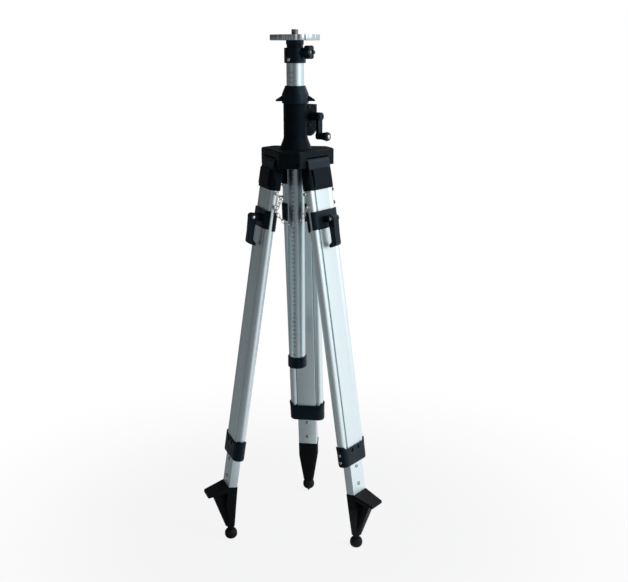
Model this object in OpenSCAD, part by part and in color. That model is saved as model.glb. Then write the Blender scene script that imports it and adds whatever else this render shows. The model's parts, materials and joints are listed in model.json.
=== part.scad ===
// Elevating tripod: a crank-driven column on three sliding legs, standing open on the floor.
// Millimetres, +Z up. The origin is on the column axis at floor level, and the back leg points along +Y.

/* [Stand] */
// Height of the crown's top face above the floor
crown_top = 922.5; // [890:0.5:960]
// Angle of each leg from the vertical
leg_lean = 8.93; // [8:0.01:10]
// Distance of the leg hinges from the column axis
hinge_r = 54.5; // [54:0.25:55]
// Drop of the leg hinges below the crown's top face
hinge_drop = 27.5; // [26:0.5:28.5]
// How far the foot points lie inside the line of the leg
foot_inset = 20.7; // [18:0.1:23]

/* [Crown] */
// Distance of the three cut corners beyond the hinges' distance
crown_corner_out = 28.5; // [27.5:0.5:33]
// Width of the three cut corners
crown_corner_w = 43; // [42:0.5:48]
// Radius of the crown's upright edges
crown_round = 5; // [4:0.5:7]
// Bevel round the crown's top face
crown_bevel = 2.5; // [1:0.25:3.5]
// Thickness of the crown's plate
plate_t = 14; // [12:0.5:14]
// Height of the lugs below the plate
lug_h = 21.5; // [21:0.5:23]
// Diameter of the hinge pins
hinge_pin_d = 6; // [5:0.5:7]
// Length of each hinge pin
hinge_pin_l = 104; // [96:1:108]

/* [Elevator housing] */
// Diameter of the sleeve
sleeve_d = 53; // [51:0.5:56]
// Height of the sleeve's shoulder above the crown
sleeve_h = 98.5; // [97:0.5:106]
// Diameter of the flared foot of the sleeve
flare_d = 70; // [66:1:74]
// Height of the flared foot
flare_h = 24.5; // [20:0.5:27]
// Rim height at the bottom of the flare
flare_rim = 1.5; // [1:0.5:4]
// Height of the sleeve's nose inside the lock ring
nose_h = 19; // [16:0.5:20]
// Outside diameter of the nose
nose_d = 44.6; // [44:0.1:45]
// Plan angle of the rack side of the gear box
gear_azimuth = 54; // [45:1:65]
// Reach of the gear box from the column axis
gear_box_reach = 43; // [42:0.5:48]
// Width of the gear box across the reach
gear_box_w = 40; // [38:1:44]
// Height of the pinion axis above the crown
pinion_up = 70.5; // [69:0.5:72]
// Height of the gear box above the pinion axis
gear_box_rise = 25; // [18:0.5:26]
// Depth of the gear box below the pinion axis
gear_box_drop = 43; // [40:0.5:44]
// Thickness of the gear cover
cover_t = 4; // [3:0.5:6]
// Diameter of the round pinion chamber
chamber_d = 24; // [23:0.5:25]
// Diameter of the base screws
base_screw_d = 5; // [4:0.5:5]
// Diameter of the cover screws
cover_screw_d = 3; // [2.5:0.5:3.5]

/* [Drive] */
// Gear module
gear_module = 1.5; // [1.5:0.05:1.6]
// Number of teeth on the pinion
pinion_teeth = 12; // [12:1:13]
// Face width of the pinion
pinion_w = 6; // [5:0.5:6]
// Diameter of the crank shaft
shaft_d = 10; // [8:0.5:11]
// Distance from crank shaft to grip
crank_throw = 42; // [36:1:48]
// Diameter of the crank hub
hub_d = 18; // [16:0.5:20]
// Length of the crank hub
hub_l = 25; // [22:1:28]
// Thickness of the crank arm
arm_t = 8; // [6:0.5:10]
// Width of the crank arm
arm_w = 13; // [11:0.5:15]
// Diameter of the grip at its outer end
grip_d = 20; // [18:0.5:22]
// Diameter of the grip at the arm
grip_neck_d = 14; // [12:0.5:16]
// Length of the grip
grip_l = 24; // [20:1:30]

/* [Column] */
// Outside diameter of the column
column_d = 38; // [37.8:0.05:38.2]
// Wall of the column
column_wall = 3; // [2.5:0.25:3]
// Height of the column's lower end above the floor
column_bottom = 420; // [400:1:460]
// Length of column shown between lock ring and head collar
column_show = 48; // [40:1:60]
// Width of the rack
rack_w = 7; // [6.8:0.1:7.2]
// Thickness of the rack
rack_t = 6.5; // [5.5:0.25:7]
// Number of rack teeth
rack_teeth = 106; // [105:1:108]
// Outside diameter of the end cap
end_cap_d = 44; // [42:0.5:46]
// Height of the end cap
end_cap_h = 27; // [24:1:30]

/* [Lock ring] */
// Height of the lock ring
lock_h = 37; // [35:0.5:40]
// Diameter of the lock ring's body
lock_d = 58.8; // [57:0.2:62]
// Diameter of the lock ring's top
lock_top_d = 44.5; // [43.5:0.5:47]
// Height of the straight lower part
lock_straight_h = 19; // [17:0.5:20]
// Reach of the two wings from the axis
wing_reach = 43; // [40:0.5:46]
// Width of each wing
wing_w = 12; // [9:0.5:15]
// Height of the wings above the ring's lower edge
wing_low = 4; // [2:0.5:6]
// Plan angle of the wings
wing_azimuth = 9; // [-20:1:30]

/* [Head] */
// Diameter of the head collar
collar_d = 47; // [46:0.5:50]
// Height of the head collar
collar_h = 32; // [30:0.5:36]
// Depth of the collar over the column
collar_grip = 16; // [14:0.5:18]
// Visible height of the neck
neck_h = 15; // [13:0.5:18]
// Diameter of the neck's flange
neck_d = 38.6; // [38:0.2:42]
// Diameter of the head's spigot
spigot_d = 24; // [20:0.5:26]
// Length of the head's spigot
spigot_l = 42; // [38:1:48]
// Diameter of the instrument plate
head_plate_d = 108; // [100:1:120]
// Thickness of the instrument plate
head_plate_t = 12; // [10:0.5:14]
// Number of flutes round the plate's rim
flutes = 24; // [20:1:30]
// Diameter of each flute
flute_d = 20; // [12:0.5:24]
// Depth of each flute
flute_depth = 0.9; // [0.5:0.1:1.5]
// Major diameter of the 5/8 inch stud
stud_d = 15.875; // [15.8:0.005:16]
// Height of the stud above the plate
stud_up = 11; // [9:0.5:14]
// Diameter of the stud's shank inside the plate
stud_shank_d = 14; // [12:0.5:15]
// Diameter of the recess round the stud
plate_recess_d = 24; // [20:0.5:30]
// Depth of the recess round the stud
plate_recess = 0.4; // [0.3:0.1:1]
// Plan angle of the star knob
knob_azimuth = -26; // [-40:1:-10]
// Plan angle of the slit in the collar
slit_azimuth = -132; // [-150:1:-120]
// Diameter of the star knob over its lobes
knob_d = 31; // [28:0.5:34]
// Length of the star knob
knob_l = 16; // [14:0.5:18]
// Number of lobes
knob_lobes = 6; // [5:1:6]
// Diameter of the knob's screw
knob_screw_d = 8; // [6:0.5:9]

/* [Legs] */
// Width of the two rails together
leg_w = 84; // [82:0.5:88]
// Thickness of the rails
leg_t = 22; // [21:0.5:24]
// Width of the sliding bar as a share of the leg's width
bar_share = 0.56; // [0.55:0.005:0.58]
// Thickness of the sliding bar
bar_t = 21; // [19:0.5:21.5]
// Wall of the sliding bar
bar_wall = 2; // [1.5:0.25:2.5]
// Side gap between bar and rails
slide_gap = 1; // [0.8:0.1:1.2]
// Reach of the bar's tongue into the rail as a share of the rail's width
tongue_share = 0.26; // [0.2:0.01:0.28]
// Thickness of the tongue
tongue_t = 8; // [6:0.5:9]
// Diameter of the hollow in each rail as a share of the rail's width
rail_bore_share = 0.69; // [0.58:0.01:0.74]
// Depth of the leg head below the hinge
head_drop = 58; // [55:0.5:60]
// Wall of the leg head round the rails
head_wall = 3; // [2.5:0.25:3.5]
// Width of the leg head between the lugs
hinge_w = 75; // [70:0.5:76]
// Height of the guide collar's lower face along the leg
collar_foot = 215; // [205:1:230]
// Height of the guide collar
guide_h = 42; // [38:1:46]
// Wall of the guide collar at the front and back
guide_wall = 3.2; // [2.5:0.1:4]
// Wall of the guide collar at the sides
guide_side_wall = 1.8; // [1.5:0.1:2.5]
// How far the bar slides out
slide_travel = 450; // [400:5:455]
// Drop of the upper chain bolts below the hinge
bolt_a_drop = 64; // [64:0.5:68]
// Drop of the lower chain bolts below the hinge
bolt_b_drop = 93; // [88:0.5:95]

/* [Leg clamps] */
// Drop of the outer shell's top below the hinge
clamp_drop = 104; // [103:0.5:110]
// Height of the outer shell
clamp_h = 40; // [38:0.5:44]
// Height of the inner shell above the clamp bolt
clamp_inner_rise = 18; // [16:0.5:20]
// Depth of the inner shell below the clamp bolt
clamp_inner_fall = 24; // [20:0.5:26]
// Wall of the shells
clamp_wall = 3.5; // [3:0.25:4]
// Half of the gap left between the two shells
clamp_split = 5; // [4.5:0.25:6]
// Diameter of the clamp bolt
clamp_bolt_d = 6; // [5:0.5:7]
// Distance of the lever's pin from the leg's middle plane
lever_out = 31; // [29:0.25:33]
// Length of the lever below its pin
lever_l = 64; // [58:1:70]
// Width of the lever
lever_w = 18; // [15:0.5:20]
// Diameter of the lever's boss
lever_boss_d = 16; // [14:0.5:18]
// Diameter of the lever's pin
lever_pin_d = 6; // [5:0.5:7]

/* [Feet] */
// Height of the shoe's top along the leg
shoe_top = 143; // [135:1:150]
// Height of the straight part of the shoe
shoe_straight = 38; // [34:1:42]
// Step of the shoe beyond the bar's sides
shoe_step = 0.3; // [0:0.1:1.5]
// Thickness of the shoe
shoe_t = 22; // [21.5:0.1:24]
// Height of the plug inside the bar
plug_h = 72; // [68:1:78]
// Reach of the tread plate from the leg's middle plane
tread_reach = 56; // [48:1:62]
// Fall of the tread plate to its tip
tread_fall = 22; // [16:1:26]
// Width of the tread plate at its tip
tread_tip_w = 38; // [28:1:42]
// Thickness of the tread plate
tread_t = 6; // [5:0.5:8]
// Thickness of the web under the tread plate
web_t = 20; // [14:0.5:24]
// Height of the ankle above the floor
ankle_h = 32.5; // [32:0.5:36]
// Diameter of the shoe's nose under the ankle
foot_nose_d = 16; // [15:0.5:18]
// Diameter of the steel point's shank
spike_d = 10; // [8:0.5:11]
// Diameter of the steel point's cone
spike_head_d = 14; // [12:0.5:14.5]
// Length of the steel point
spike_l = 50; // [46:1:54]
// Length of the point's cone
spike_cone = 9.5; // [8:0.5:11]
// Diameter of the rubber tip
tip_d = 30; // [28:0.5:33]
// Height of the rubber tip
tip_h = 22; // [20:0.5:23]
// How far the back leg's rubber tip is screwed up
tip_raise = 9; // [6:0.5:9.5]

/* [Chains] */
// Radius of the chain's lowest bend
chain_bend = 22; // [20:0.5:26]
// Number of links in each chain
chain_links = 13; // [11:2:13]
// Thickness of a link
link_wire = 1.6; // [1.4:0.1:1.8]
// Inside width of a link
link_gap = 4.6; // [4.2:0.1:5.4]

/* [Hidden] */
LEGS = ["back", "left", "right"];
CENTRE_NODES = [
    "crown", "hinge_pins", "elevator_housing", "gear_cover", "housing_screws", "lower_bush", "collet",
    "lock_ring", "drive_pinion", "crank_arm", "crank_fasteners", "crank_grip", "column_tube", "rack",
    "end_cap", "column_plug", "head_collar", "collar_rivet", "head_neck", "head_plate",
    "instrument_stud", "star_knob", "knob_screw", "leg_chains"
];
LEG_NODES = [
    "leg_head", "leg_rails", "guide_collar", "leg_fasteners", "slide_bar", "clamp_outer", "clamp_inner",
    "slide_fasteners", "clamp_lever", "foot_shoe", "foot_spike", "rubber_tip"
];

$fn = 64;
hull_fn = 32;

// Colours
black = "#17191c";
alloy = "#c9ced2";
steel = "#9a9d9f";
rubber = "#101113";
brass = "#a99c78";

// Fits and cuts
overrun = 2;
fit = 0.05;
running = 0.08;
clear = 0.3;

// Leg line, hinge and foot places
hinge_z = crown_top - hinge_drop;
leg_l = hinge_z / cos(leg_lean);
foot_r = hinge_r + hinge_z * tan(leg_lean) - foot_inset;

function leg_azimuth(leg) = 90 + 120 * leg;
function corner_azimuth(corner) = 30 + 120 * corner;
// Place along the leg, measured up from the floor, in the leg's own frame
function up_leg(height) = height - leg_l;

// Crown
crown_corner_r = hinge_r + crown_corner_out;
plate_bottom = crown_top - plate_t;
lug_bottom = plate_bottom - lug_h;
slot_gap = 0.5;
slot_depth = 20;
slot_w = hinge_w + 2 * slot_gap;
slot_inner = hinge_r - slot_depth;
bush_wall = 4;
bush_d = column_d + 2 * bush_wall;
bush_lip = 1.5;
base_screw_edge = 1.9;
base_screw_r = bush_d / 2 + base_screw_d / 2 + base_screw_edge;
base_screw_head_share = 1.7;
base_screw_head_d = base_screw_d * base_screw_head_share;
base_screw_head_h = base_screw_d;
base_screw_bite = 12;
base_screw_turn = 40;
base_screw_at = [for (screw = [0:2]) gear_azimuth + base_screw_turn + 120 * screw];

// Elevator housing
sleeve_top = crown_top + sleeve_h;
nose_top = sleeve_top + nose_h;
sleeve_gap = 1.2;
sleeve_bore = column_d + 2 * sleeve_gap;
pinion_z = crown_top + pinion_up;
pitch_r = gear_module * pinion_teeth / 2;
rack_addendum_share = 0.67;
rack_dedendum_share = 1.1;
pinion_addendum_share = 0.87;
pinion_dedendum_share = 0.9;
rack_addendum = gear_module * rack_addendum_share;
rack_dedendum = gear_module * rack_dedendum_share;
pinion_addendum = gear_module * pinion_addendum_share;
pinion_dedendum = gear_module * pinion_dedendum_share;
rack_sink = 0.5;
rack_tip = column_d / 2 - rack_sink;
rack_pitch = rack_tip - rack_addendum;
pinion_x = rack_pitch + pitch_r;
chamber_back = pinion_w;
box_face = -gear_box_w / 2;
cover_face = box_face - cover_t;
shaft_back_share = 0.42;
shaft_back = gear_box_w * shaft_back_share;
bearing_boss_share = 2.2;
bearing_boss_d = shaft_d * bearing_boss_share;
bearing_boss_l = 3;
cover_screw_head_d = cover_screw_d * 2;
cover_screw_head_h = cover_screw_d / 2;
cover_screw_bite = 10;
cover_edge = 4.5;
cover_inner_share = 0.2;
cover_screw_in_share = 0.36;
cover_screw_low_share = 0.45;
cover_screw_places = [
    for (reach = [sleeve_d * cover_screw_in_share, gear_box_reach - cover_edge],
         rise = [gear_box_rise - cover_edge, -gear_box_drop * cover_screw_low_share])
        [reach, rise]
];

// Drive
tooth_pitch = PI * gear_module;
backlash_share = 0.08;
backlash = gear_module * backlash_share;
pressure_angle = 20;
base_r = pitch_r * cos(pressure_angle);
thrust_share = 1.6;
thrust_d = shaft_d * thrust_share;
thrust_l = 6;
hub_gap = 0.5;
hub_inner = cover_face - bearing_boss_l - hub_gap;
hub_outer = hub_inner - hub_l;
hub_nose = 2;
arm_inner = hub_outer + arm_t + hub_nose;
arm_foot_share = 0.9;
arm_foot_d = hub_d * arm_foot_share;
shaft_end = hub_outer + hub_l / 3;
hub_screw_d = 5;
hub_screw_head_d = 11;
hub_screw_head_h = 2.5;
grip_bolt_d = 6;
grip_bolt_head_d = 11;
grip_bolt_head_h = 3;
grip_taper_share = 0.8;
grip_end_share = 0.85;
grip_start = arm_inner - arm_t - clear;
grip_end = grip_start - grip_l;

// Column
column_bore = column_d - 2 * column_wall;
lock_bottom = sleeve_top + clear;
lock_top = lock_bottom + lock_h;
head_collar_bottom = lock_top + column_show;
head_collar_top = head_collar_bottom + collar_h;
column_top = head_collar_bottom + collar_grip;
rack_back = rack_tip - rack_t;
rack_l = rack_teeth * tooth_pitch;
rack_teeth_below = 94;
rack_low = pinion_z - (rack_teeth_below + 1 / 2) * tooth_pitch;
cap_floor = 9;
cap_bevel = 3;

// Lock ring and collet
collet_taper = 2;
collet_wall = 2.4;
collet_d = column_d + 2 * collet_wall;
lock_lip = 4.5;
collet_h = lock_h - nose_h - lock_lip;
collet_slots = 6;
collet_slot_w = 1.5;
wing_root_h = 13;
wing_tip_h = 3;
wing_bite = 1.5;

// Head
skirt_gap = 0.2;
skirt_d = column_d - 2 * skirt_gap;
skirt_bottom = column_top + clear;
neck_bottom = head_collar_top + clear;
plate_low = neck_bottom + neck_h;
head_plate_top = plate_low + head_plate_t;
neck_groove_w = 2.5;
neck_groove_depth = 1.4;
plate_bevel = 1;
stud_bite = 14;
stud_bevel = 1.5;
knob_down_share = 0.3;
knob_z = head_collar_top - collar_h * knob_down_share;
boss_d = 18;
boss_reach = 27;
knob_gap = 1;
knob_start = boss_reach + knob_gap;
scallop_share = 0.36;
scallop_depth = 4;
knob_recess_d = 10;
knob_recess = 3;
slit_w = 2;
rivet_d = 6;
rivet_head = 1.2;
rivet_turn = 14;
rivet_azimuth = slit_azimuth + rivet_turn;
rivet_up = 7;
rivet_tail = 1;

// Leg sections
bar_w = leg_w * bar_share;
rail_inner = bar_w / 2 + slide_gap;
rail_w = leg_w / 2 - rail_inner;
tongue_w = bar_w + 2 * rail_w * tongue_share;
groove_w = tongue_w + 2 * slide_gap;
groove_t = tongue_t + 2 * clear;
rail_bore = rail_w * rail_bore_share;
rail_bore_out_share = 0.16;
rail_bore_at = leg_w / 2 - leg_t / 2 + rail_w * rail_bore_out_share;
barrel_wall = 8.5;
barrel_d = hinge_pin_d + 2 * barrel_wall;
shoulder_drop = 14;
shoulder_step = 1;
rail_seat = 41;
pad_share = 0.8;
pad_w = hinge_w * pad_share;
pad_t = 2.5;
pad_margin = 7;
guide_floor = 4;
guide_top = collar_foot + guide_h;
rail_foot = collar_foot + guide_floor + clear;
bar_top_gap = 0.6;
bar_top_drop = head_drop + bar_top_gap;
collar_rivet_d = 4;
collar_rivet_head_d = 6.5;
collar_rivet_head = 1.4;
collar_rivet_shares = [0.3, 0.7];
bolt_d = 5;
bolt_head_d = 8;
bolt_head_h = 2.4;
bolt_bite = 5;
bolt_neck_d = 2.6;
bolt_neck_l = 8;

// Leg clamps
shell_inner_t = leg_t + 2 * clear;
shell_inner_w = leg_w + 2 * clear;
shell_outer_t = shell_inner_t + 2 * clamp_wall;
shell_outer_w = shell_inner_w + 2 * clamp_wall;
clamp_bolt_drop = clamp_drop + clamp_h / 2;
bar_pad_edge = 2;
bar_pad_w = bar_w - 2 * bar_pad_edge;
bar_pad_root = 1;
cheek_t = 3;
cheek_gap = 0.4;
cheek_d = 14;
nut_boss_d = 20;
nut_boss_l = 7.5;
nut_d = 11.5;
nut_h = 5;
bolt_cap_d = 11;
bolt_cap_h = 2.5;
lever_waist_share = 0.55;
lever_toe_share = 0.95;
lever_waist_d = 12.5;
lever_toe_d = 13;
lever_hook_d = 8;
lever_hook_in = 10;

// Feet
shoe_w = bar_w + 2 * shoe_step;
plug_skin = bar_wall + fit;
foot_rivet_d = 4;
foot_rivet_head_d = 9;
foot_rivet_head = 1.8;
foot_rivet_shares = [0.3, 0.88];
foot_rivet_rise = [for (share = foot_rivet_shares) share * plug_h];
ankle_half = 5;
ankle_t = 3;
tread_root = 11;
tread_low = shoe_top - tread_fall - tread_t;
tread_lip = 4;
spike_point_d = 1.2;
tip_floor = 4;
tip_play = 1;
web_out = 3;
foot_nose_bottom = tip_floor + tip_raise + tip_play;
web_share = 0.66;
tip_lift = [tip_raise, 0, 0];

// Chains
eye_u = leg_w / 2 + bolt_neck_l / 2;
eye_r = hinge_r + bolt_b_drop * sin(leg_lean);
eye_z = hinge_z - bolt_b_drop * cos(leg_lean);
chain_r = eye_r * cos(60) + eye_u * sin(60);
link_play = 0.9;
chain_hook = (link_gap - link_play) / 2;
chain_out_share = 0.35;
chain_up_share = 0.94;
chain_lift = chain_hook * chain_up_share;
chain_half_span = eye_r * sin(60) - eye_u * cos(60) + chain_hook * chain_out_share;
chain_half_l = chain_bend * sinh(chain_half_span / chain_bend);
link_pitch = 2 * chain_half_l / chain_links;
link_inner_l = link_pitch + link_play;

function sinh(x) = (exp(x) - exp(-x)) / 2;
function asinh(x) = ln(x + sqrt(x * x + 1));
// Point of the hanging chain at a length s from its lowest point, as run and height below the bolts
function chain_point(s) = [
    chain_bend * asinh(s / chain_bend),
    sqrt(chain_bend * chain_bend + s * s) - sqrt(pow(chain_bend, 2) + pow(chain_half_l, 2))
];
// Involute of the pinion's base circle at a radius, as the angle turned
function involute_angle(r) = sqrt(pow(r / base_r, 2) - 1) * 180 / PI - acos(base_r / r);

// Frames
module on_leg(leg) {
    rotate([0, 0, leg_azimuth(leg)])
        translate([hinge_r, 0, hinge_z])
            rotate([0, -leg_lean, 0])
                children();
}

module at_foot(leg) {
    rotate([0, 0, leg_azimuth(leg)])
        translate([foot_r, 0, 0])
            children();
}

// Gear box frame: +X to the rack, -Y along the crank shaft, origin at the height of the shaft
module at_gear() {
    translate([0, 0, pinion_z])
        rotate([0, 0, gear_azimuth])
            children();
}

// Cylinder along Y between two places
module along_y(from, to, d) {
    translate([0, max(from, to), 0])
        rotate([90, 0, 0])
            cylinder(d = d, h = abs(to - from));
}

// Cylinder along X between two places
module along_x(from, to, d) {
    translate([min(from, to), 0, 0])
        rotate([0, 90, 0])
            cylinder(d = d, h = abs(to - from));
}

// Flat with round ends: thickness along X, width along Y
module stadium(w, t) {
    square([t, w - t], center = true);
    for (side = [-1, 1])
        translate([0, side * (w - t) / 2])
            circle(d = t);
}

// Crown
module crown_outline(inset) {
    hull()
        for (corner = [0:2], side = [-1, 1])
            rotate(corner_azimuth(corner))
                translate([crown_corner_r - crown_round, side * (crown_corner_w - crown_round) / 2])
                    circle(r = crown_round - inset, $fn = hull_fn);
}

module crown() {
    color(black)
        difference() {
            union() {
                hull() {
                    translate([0, 0, plate_bottom])
                        linear_extrude(plate_t - crown_bevel)
                            crown_outline(0);
                    translate([0, 0, plate_bottom])
                        linear_extrude(plate_t)
                            crown_outline(crown_bevel);
                }
                translate([0, 0, lug_bottom])
                    linear_extrude(lug_h + plate_t / 2)
                        difference() {
                            crown_outline(0);
                            for (leg = [0:2])
                                rotate(leg_azimuth(leg))
                                    translate([slot_inner, -slot_w / 2])
                                        square([crown_corner_r, slot_w]);
                        }
            }
            translate([0, 0, lug_bottom - overrun])
                cylinder(d = bush_d + 2 * fit, h = crown_top);
            for (leg = [0:2])
                rotate([0, 0, leg_azimuth(leg)])
                    translate([hinge_r, 0, hinge_z])
                        along_y(-crown_corner_r, hinge_pin_l / 2, hinge_pin_d + 2 * fit);
            for (angle = base_screw_at)
                rotate([0, 0, angle])
                    translate([base_screw_r, 0, lug_bottom - overrun]) {
                        cylinder(d = base_screw_d + 2 * fit, h = crown_top);
                        cylinder(d = base_screw_head_d + 2 * fit, h = base_screw_head_h + overrun);
                    }
        }
}

module hinge_pins() {
    color(steel)
        for (leg = [0:2])
            rotate([0, 0, leg_azimuth(leg)])
                translate([hinge_r, 0, hinge_z])
                    along_y(-hinge_pin_l / 2, hinge_pin_l / 2, hinge_pin_d);
}

module lower_bush() {
    color(rubber)
        translate([0, 0, lug_bottom])
            difference() {
                cylinder(d = bush_d, h = crown_top - lug_bottom - bush_lip);
                translate([0, 0, -overrun])
                    cylinder(d = column_d + 2 * running, h = crown_top);
            }
}

// Elevator housing
module gear_box_outline(inner) {
    lower_r = gear_box_reach / 2;
    translate([inner, lower_r - gear_box_drop])
        square([gear_box_reach - inner, gear_box_rise + gear_box_drop - lower_r]);
    intersection() {
        translate([lower_r, lower_r - gear_box_drop])
            circle(r = lower_r);
        translate([inner, -gear_box_drop])
            square([gear_box_reach, gear_box_drop]);
    }
}

// Extrudes a shape drawn in reach and height along the crank shaft
module across_gear(from, to) {
    translate([0, max(from, to), 0])
        rotate([90, 0, 0])
            linear_extrude(abs(to - from))
                children();
}

module elevator_housing() {
    color(black)
        difference() {
            union() {
                rotate_extrude()
                    polygon([
                        [0, crown_top], [flare_d / 2, crown_top], [flare_d / 2, crown_top + flare_rim],
                        [sleeve_d / 2, crown_top + flare_h], [sleeve_d / 2, sleeve_top],
                        [nose_d / 2, sleeve_top], [nose_d / 2, nose_top], [0, nose_top]
                    ]);
                at_gear()
                    across_gear(box_face, -box_face)
                        gear_box_outline(0);
            }
            translate([0, 0, crown_top - overrun])
                cylinder(d = sleeve_bore, h = nose_top);
            at_gear()
                translate([pinion_x, 0, 0]) {
                    along_y(box_face - overrun, chamber_back, chamber_d);
                    along_y(box_face, shaft_back + clear, shaft_d + 2 * running);
                }
            at_gear()
                for (place = cover_screw_places)
                    translate([place[0], 0, place[1]])
                        along_y(cover_face - overrun, box_face + cover_screw_bite, cover_screw_d + 2 * fit);
            for (angle = base_screw_at)
                rotate([0, 0, angle])
                    translate([base_screw_r, 0, crown_top - overrun])
                        cylinder(d = base_screw_d + 2 * fit, h = base_screw_bite + overrun + clear);
        }
}

module gear_cover() {
    color(black)
        difference() {
            union() {
                at_gear()
                    across_gear(cover_face, box_face)
                        gear_box_outline(sleeve_d * cover_inner_share);
                at_gear()
                    translate([pinion_x, 0, 0])
                        along_y(cover_face - bearing_boss_l, box_face, bearing_boss_d);
            }
            translate([0, 0, crown_top])
                cylinder(d = sleeve_d + 2 * fit, h = nose_top);
            at_gear()
                translate([pinion_x, 0, 0])
                    along_y(cover_face - bearing_boss_l - overrun, box_face + overrun, shaft_d + 2 * running);
            at_gear()
                for (place = cover_screw_places)
                    translate([place[0], 0, place[1]])
                        along_y(cover_face - overrun, box_face + overrun, cover_screw_d + 2 * fit);
        }
}

module housing_screws() {
    color(steel) {
        at_gear()
            for (place = cover_screw_places)
                translate([place[0], 0, place[1]]) {
                    along_y(cover_face, box_face + cover_screw_bite - clear, cover_screw_d);
                    along_y(cover_face - cover_screw_head_h, cover_face, cover_screw_head_d);
                }
        for (angle = base_screw_at)
            rotate([0, 0, angle])
                translate([base_screw_r, 0, lug_bottom]) {
                    cylinder(d = base_screw_d, h = crown_top + base_screw_bite - lug_bottom);
                    cylinder(d = base_screw_head_d, h = base_screw_head_h);
                }
    }
}

module collet() {
    color(rubber)
        translate([0, 0, nose_top])
            difference() {
                cylinder(d1 = collet_d, d2 = collet_d - collet_taper, h = collet_h);
                translate([0, 0, -overrun])
                    cylinder(d = column_d + 2 * running, h = collet_h + 2 * overrun);
                for (slot = [0:collet_slots - 1])
                    rotate([0, 0, slot * 360 / collet_slots])
                        translate([0, -collet_slot_w / 2, collet_h / 3])
                            cube([column_d, collet_slot_w, collet_h]);
            }
}

module lock_ring() {
    seat_h = nose_top + clear - lock_bottom;
    collet_top_h = nose_top + collet_h + clear - lock_bottom;
    taper_wall = collet_wall + clear;
    color(black)
        translate([0, 0, lock_bottom]) {
            rotate_extrude()
                polygon([
                    [nose_d / 2 + running, 0], [lock_d / 2, 0], [lock_d / 2, lock_straight_h],
                    [lock_top_d / 2, lock_h], [column_d / 2 + clear, lock_h],
                    [column_d / 2 + clear, collet_top_h],
                    [column_d / 2 + taper_wall - collet_taper / 2 + fit, collet_top_h],
                    [column_d / 2 + taper_wall + fit, seat_h], [nose_d / 2 + running, seat_h]
                ]);
            difference() {
                for (side = [0, 180])
                    rotate([0, 0, wing_azimuth + side])
                        translate([0, wing_w / 2, 0])
                            rotate([90, 0, 0])
                                linear_extrude(wing_w)
                                    polygon([
                                        [lock_d / 2 - wing_bite, wing_low], [wing_reach, wing_low],
                                        [wing_reach, wing_low + wing_tip_h],
                                        [lock_d / 2 - wing_bite, wing_low + wing_root_h]
                                    ]);
                translate([0, 0, -overrun])
                    cylinder(d = lock_d - wing_bite, h = lock_h);
            }
        }
}

// Drive
module pinion_outline() {
    half_tooth = 90 / pinion_teeth - backlash / 2 / pitch_r * 180 / PI;
    tip_r = pitch_r + pinion_addendum;
    root_r = pitch_r - pinion_dedendum;
    at_pitch = involute_angle(pitch_r);
    flank = [for (share = [0:0.25:1]) base_r + share * (tip_r - base_r)];
    function flank_angle(r) = half_tooth + at_pitch - involute_angle(r);
    function polar(r, angle) = [r * cos(angle), r * sin(angle)];
    polygon([
        for (tooth = [0:pinion_teeth - 1])
            let (middle = tooth * 360 / pinion_teeth)
                each concat(
                    [polar(root_r, middle - flank_angle(base_r))],
                    [for (r = flank) polar(r, middle - flank_angle(r))],
                    [for (step = [len(flank) - 1:-1:0]) polar(flank[step], middle + flank_angle(flank[step]))],
                    [polar(root_r, middle + flank_angle(base_r))]
                )
    ]);
}

// The pinion rests with a tooth gap facing the rack tooth at the shaft's height
module drive_pinion() {
    color(steel)
        at_gear()
            translate([pinion_x, 0, 0]) {
                across_gear(-pinion_w / 2, pinion_w / 2)
                    rotate(180 / pinion_teeth)
                        pinion_outline();
                along_y(shaft_end, shaft_back, shaft_d);
                along_y(box_face + clear, box_face + clear + thrust_l, thrust_d);
            }
}

module crank_arm() {
    color(black)
        at_gear()
            translate([pinion_x, 0, 0])
                difference() {
                    union() {
                        along_y(hub_outer, hub_inner, hub_d);
                        hull() {
                            along_y(arm_inner - arm_t, arm_inner, arm_w, $fn = hull_fn);
                            translate([0, 0, -crank_throw])
                                along_y(arm_inner - arm_t, arm_inner, arm_w, $fn = hull_fn);
                        }
                        translate([0, 0, -crank_throw])
                            along_y(arm_inner - arm_t, arm_inner, arm_foot_d);
                    }
                    along_y(shaft_end - fit, hub_inner + overrun, shaft_d + 2 * fit);
                    along_y(hub_outer - overrun, shaft_end, hub_screw_d + 2 * fit);
                    translate([0, 0, -crank_throw])
                        along_y(arm_inner - arm_t - overrun, arm_inner + overrun, grip_bolt_d + 2 * fit);
                }
}

module crank_fasteners() {
    color(steel)
        at_gear()
            translate([pinion_x, 0, 0]) {
                along_y(hub_outer - hub_screw_head_h, hub_outer, hub_screw_head_d);
                along_y(hub_outer, shaft_end - fit, hub_screw_d);
                translate([0, 0, -crank_throw]) {
                    along_y(grip_end - clear, arm_inner, grip_bolt_d);
                    along_y(grip_end - clear - grip_bolt_head_h, grip_end - clear, grip_bolt_head_d);
                }
            }
}

module crank_grip() {
    grip_taper = grip_l * grip_taper_share;
    color(black)
        at_gear()
            translate([pinion_x, grip_start, -crank_throw])
                rotate([90, 0, 0])
                    difference() {
                        union() {
                            cylinder(d1 = grip_neck_d, d2 = grip_d, h = grip_taper);
                            translate([0, 0, grip_taper])
                                cylinder(d1 = grip_d, d2 = grip_d * grip_end_share, h = grip_l - grip_taper);
                        }
                        translate([0, 0, -overrun])
                            cylinder(d = grip_bolt_d + 2 * running, h = grip_l + 2 * overrun);
                    }
}

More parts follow.
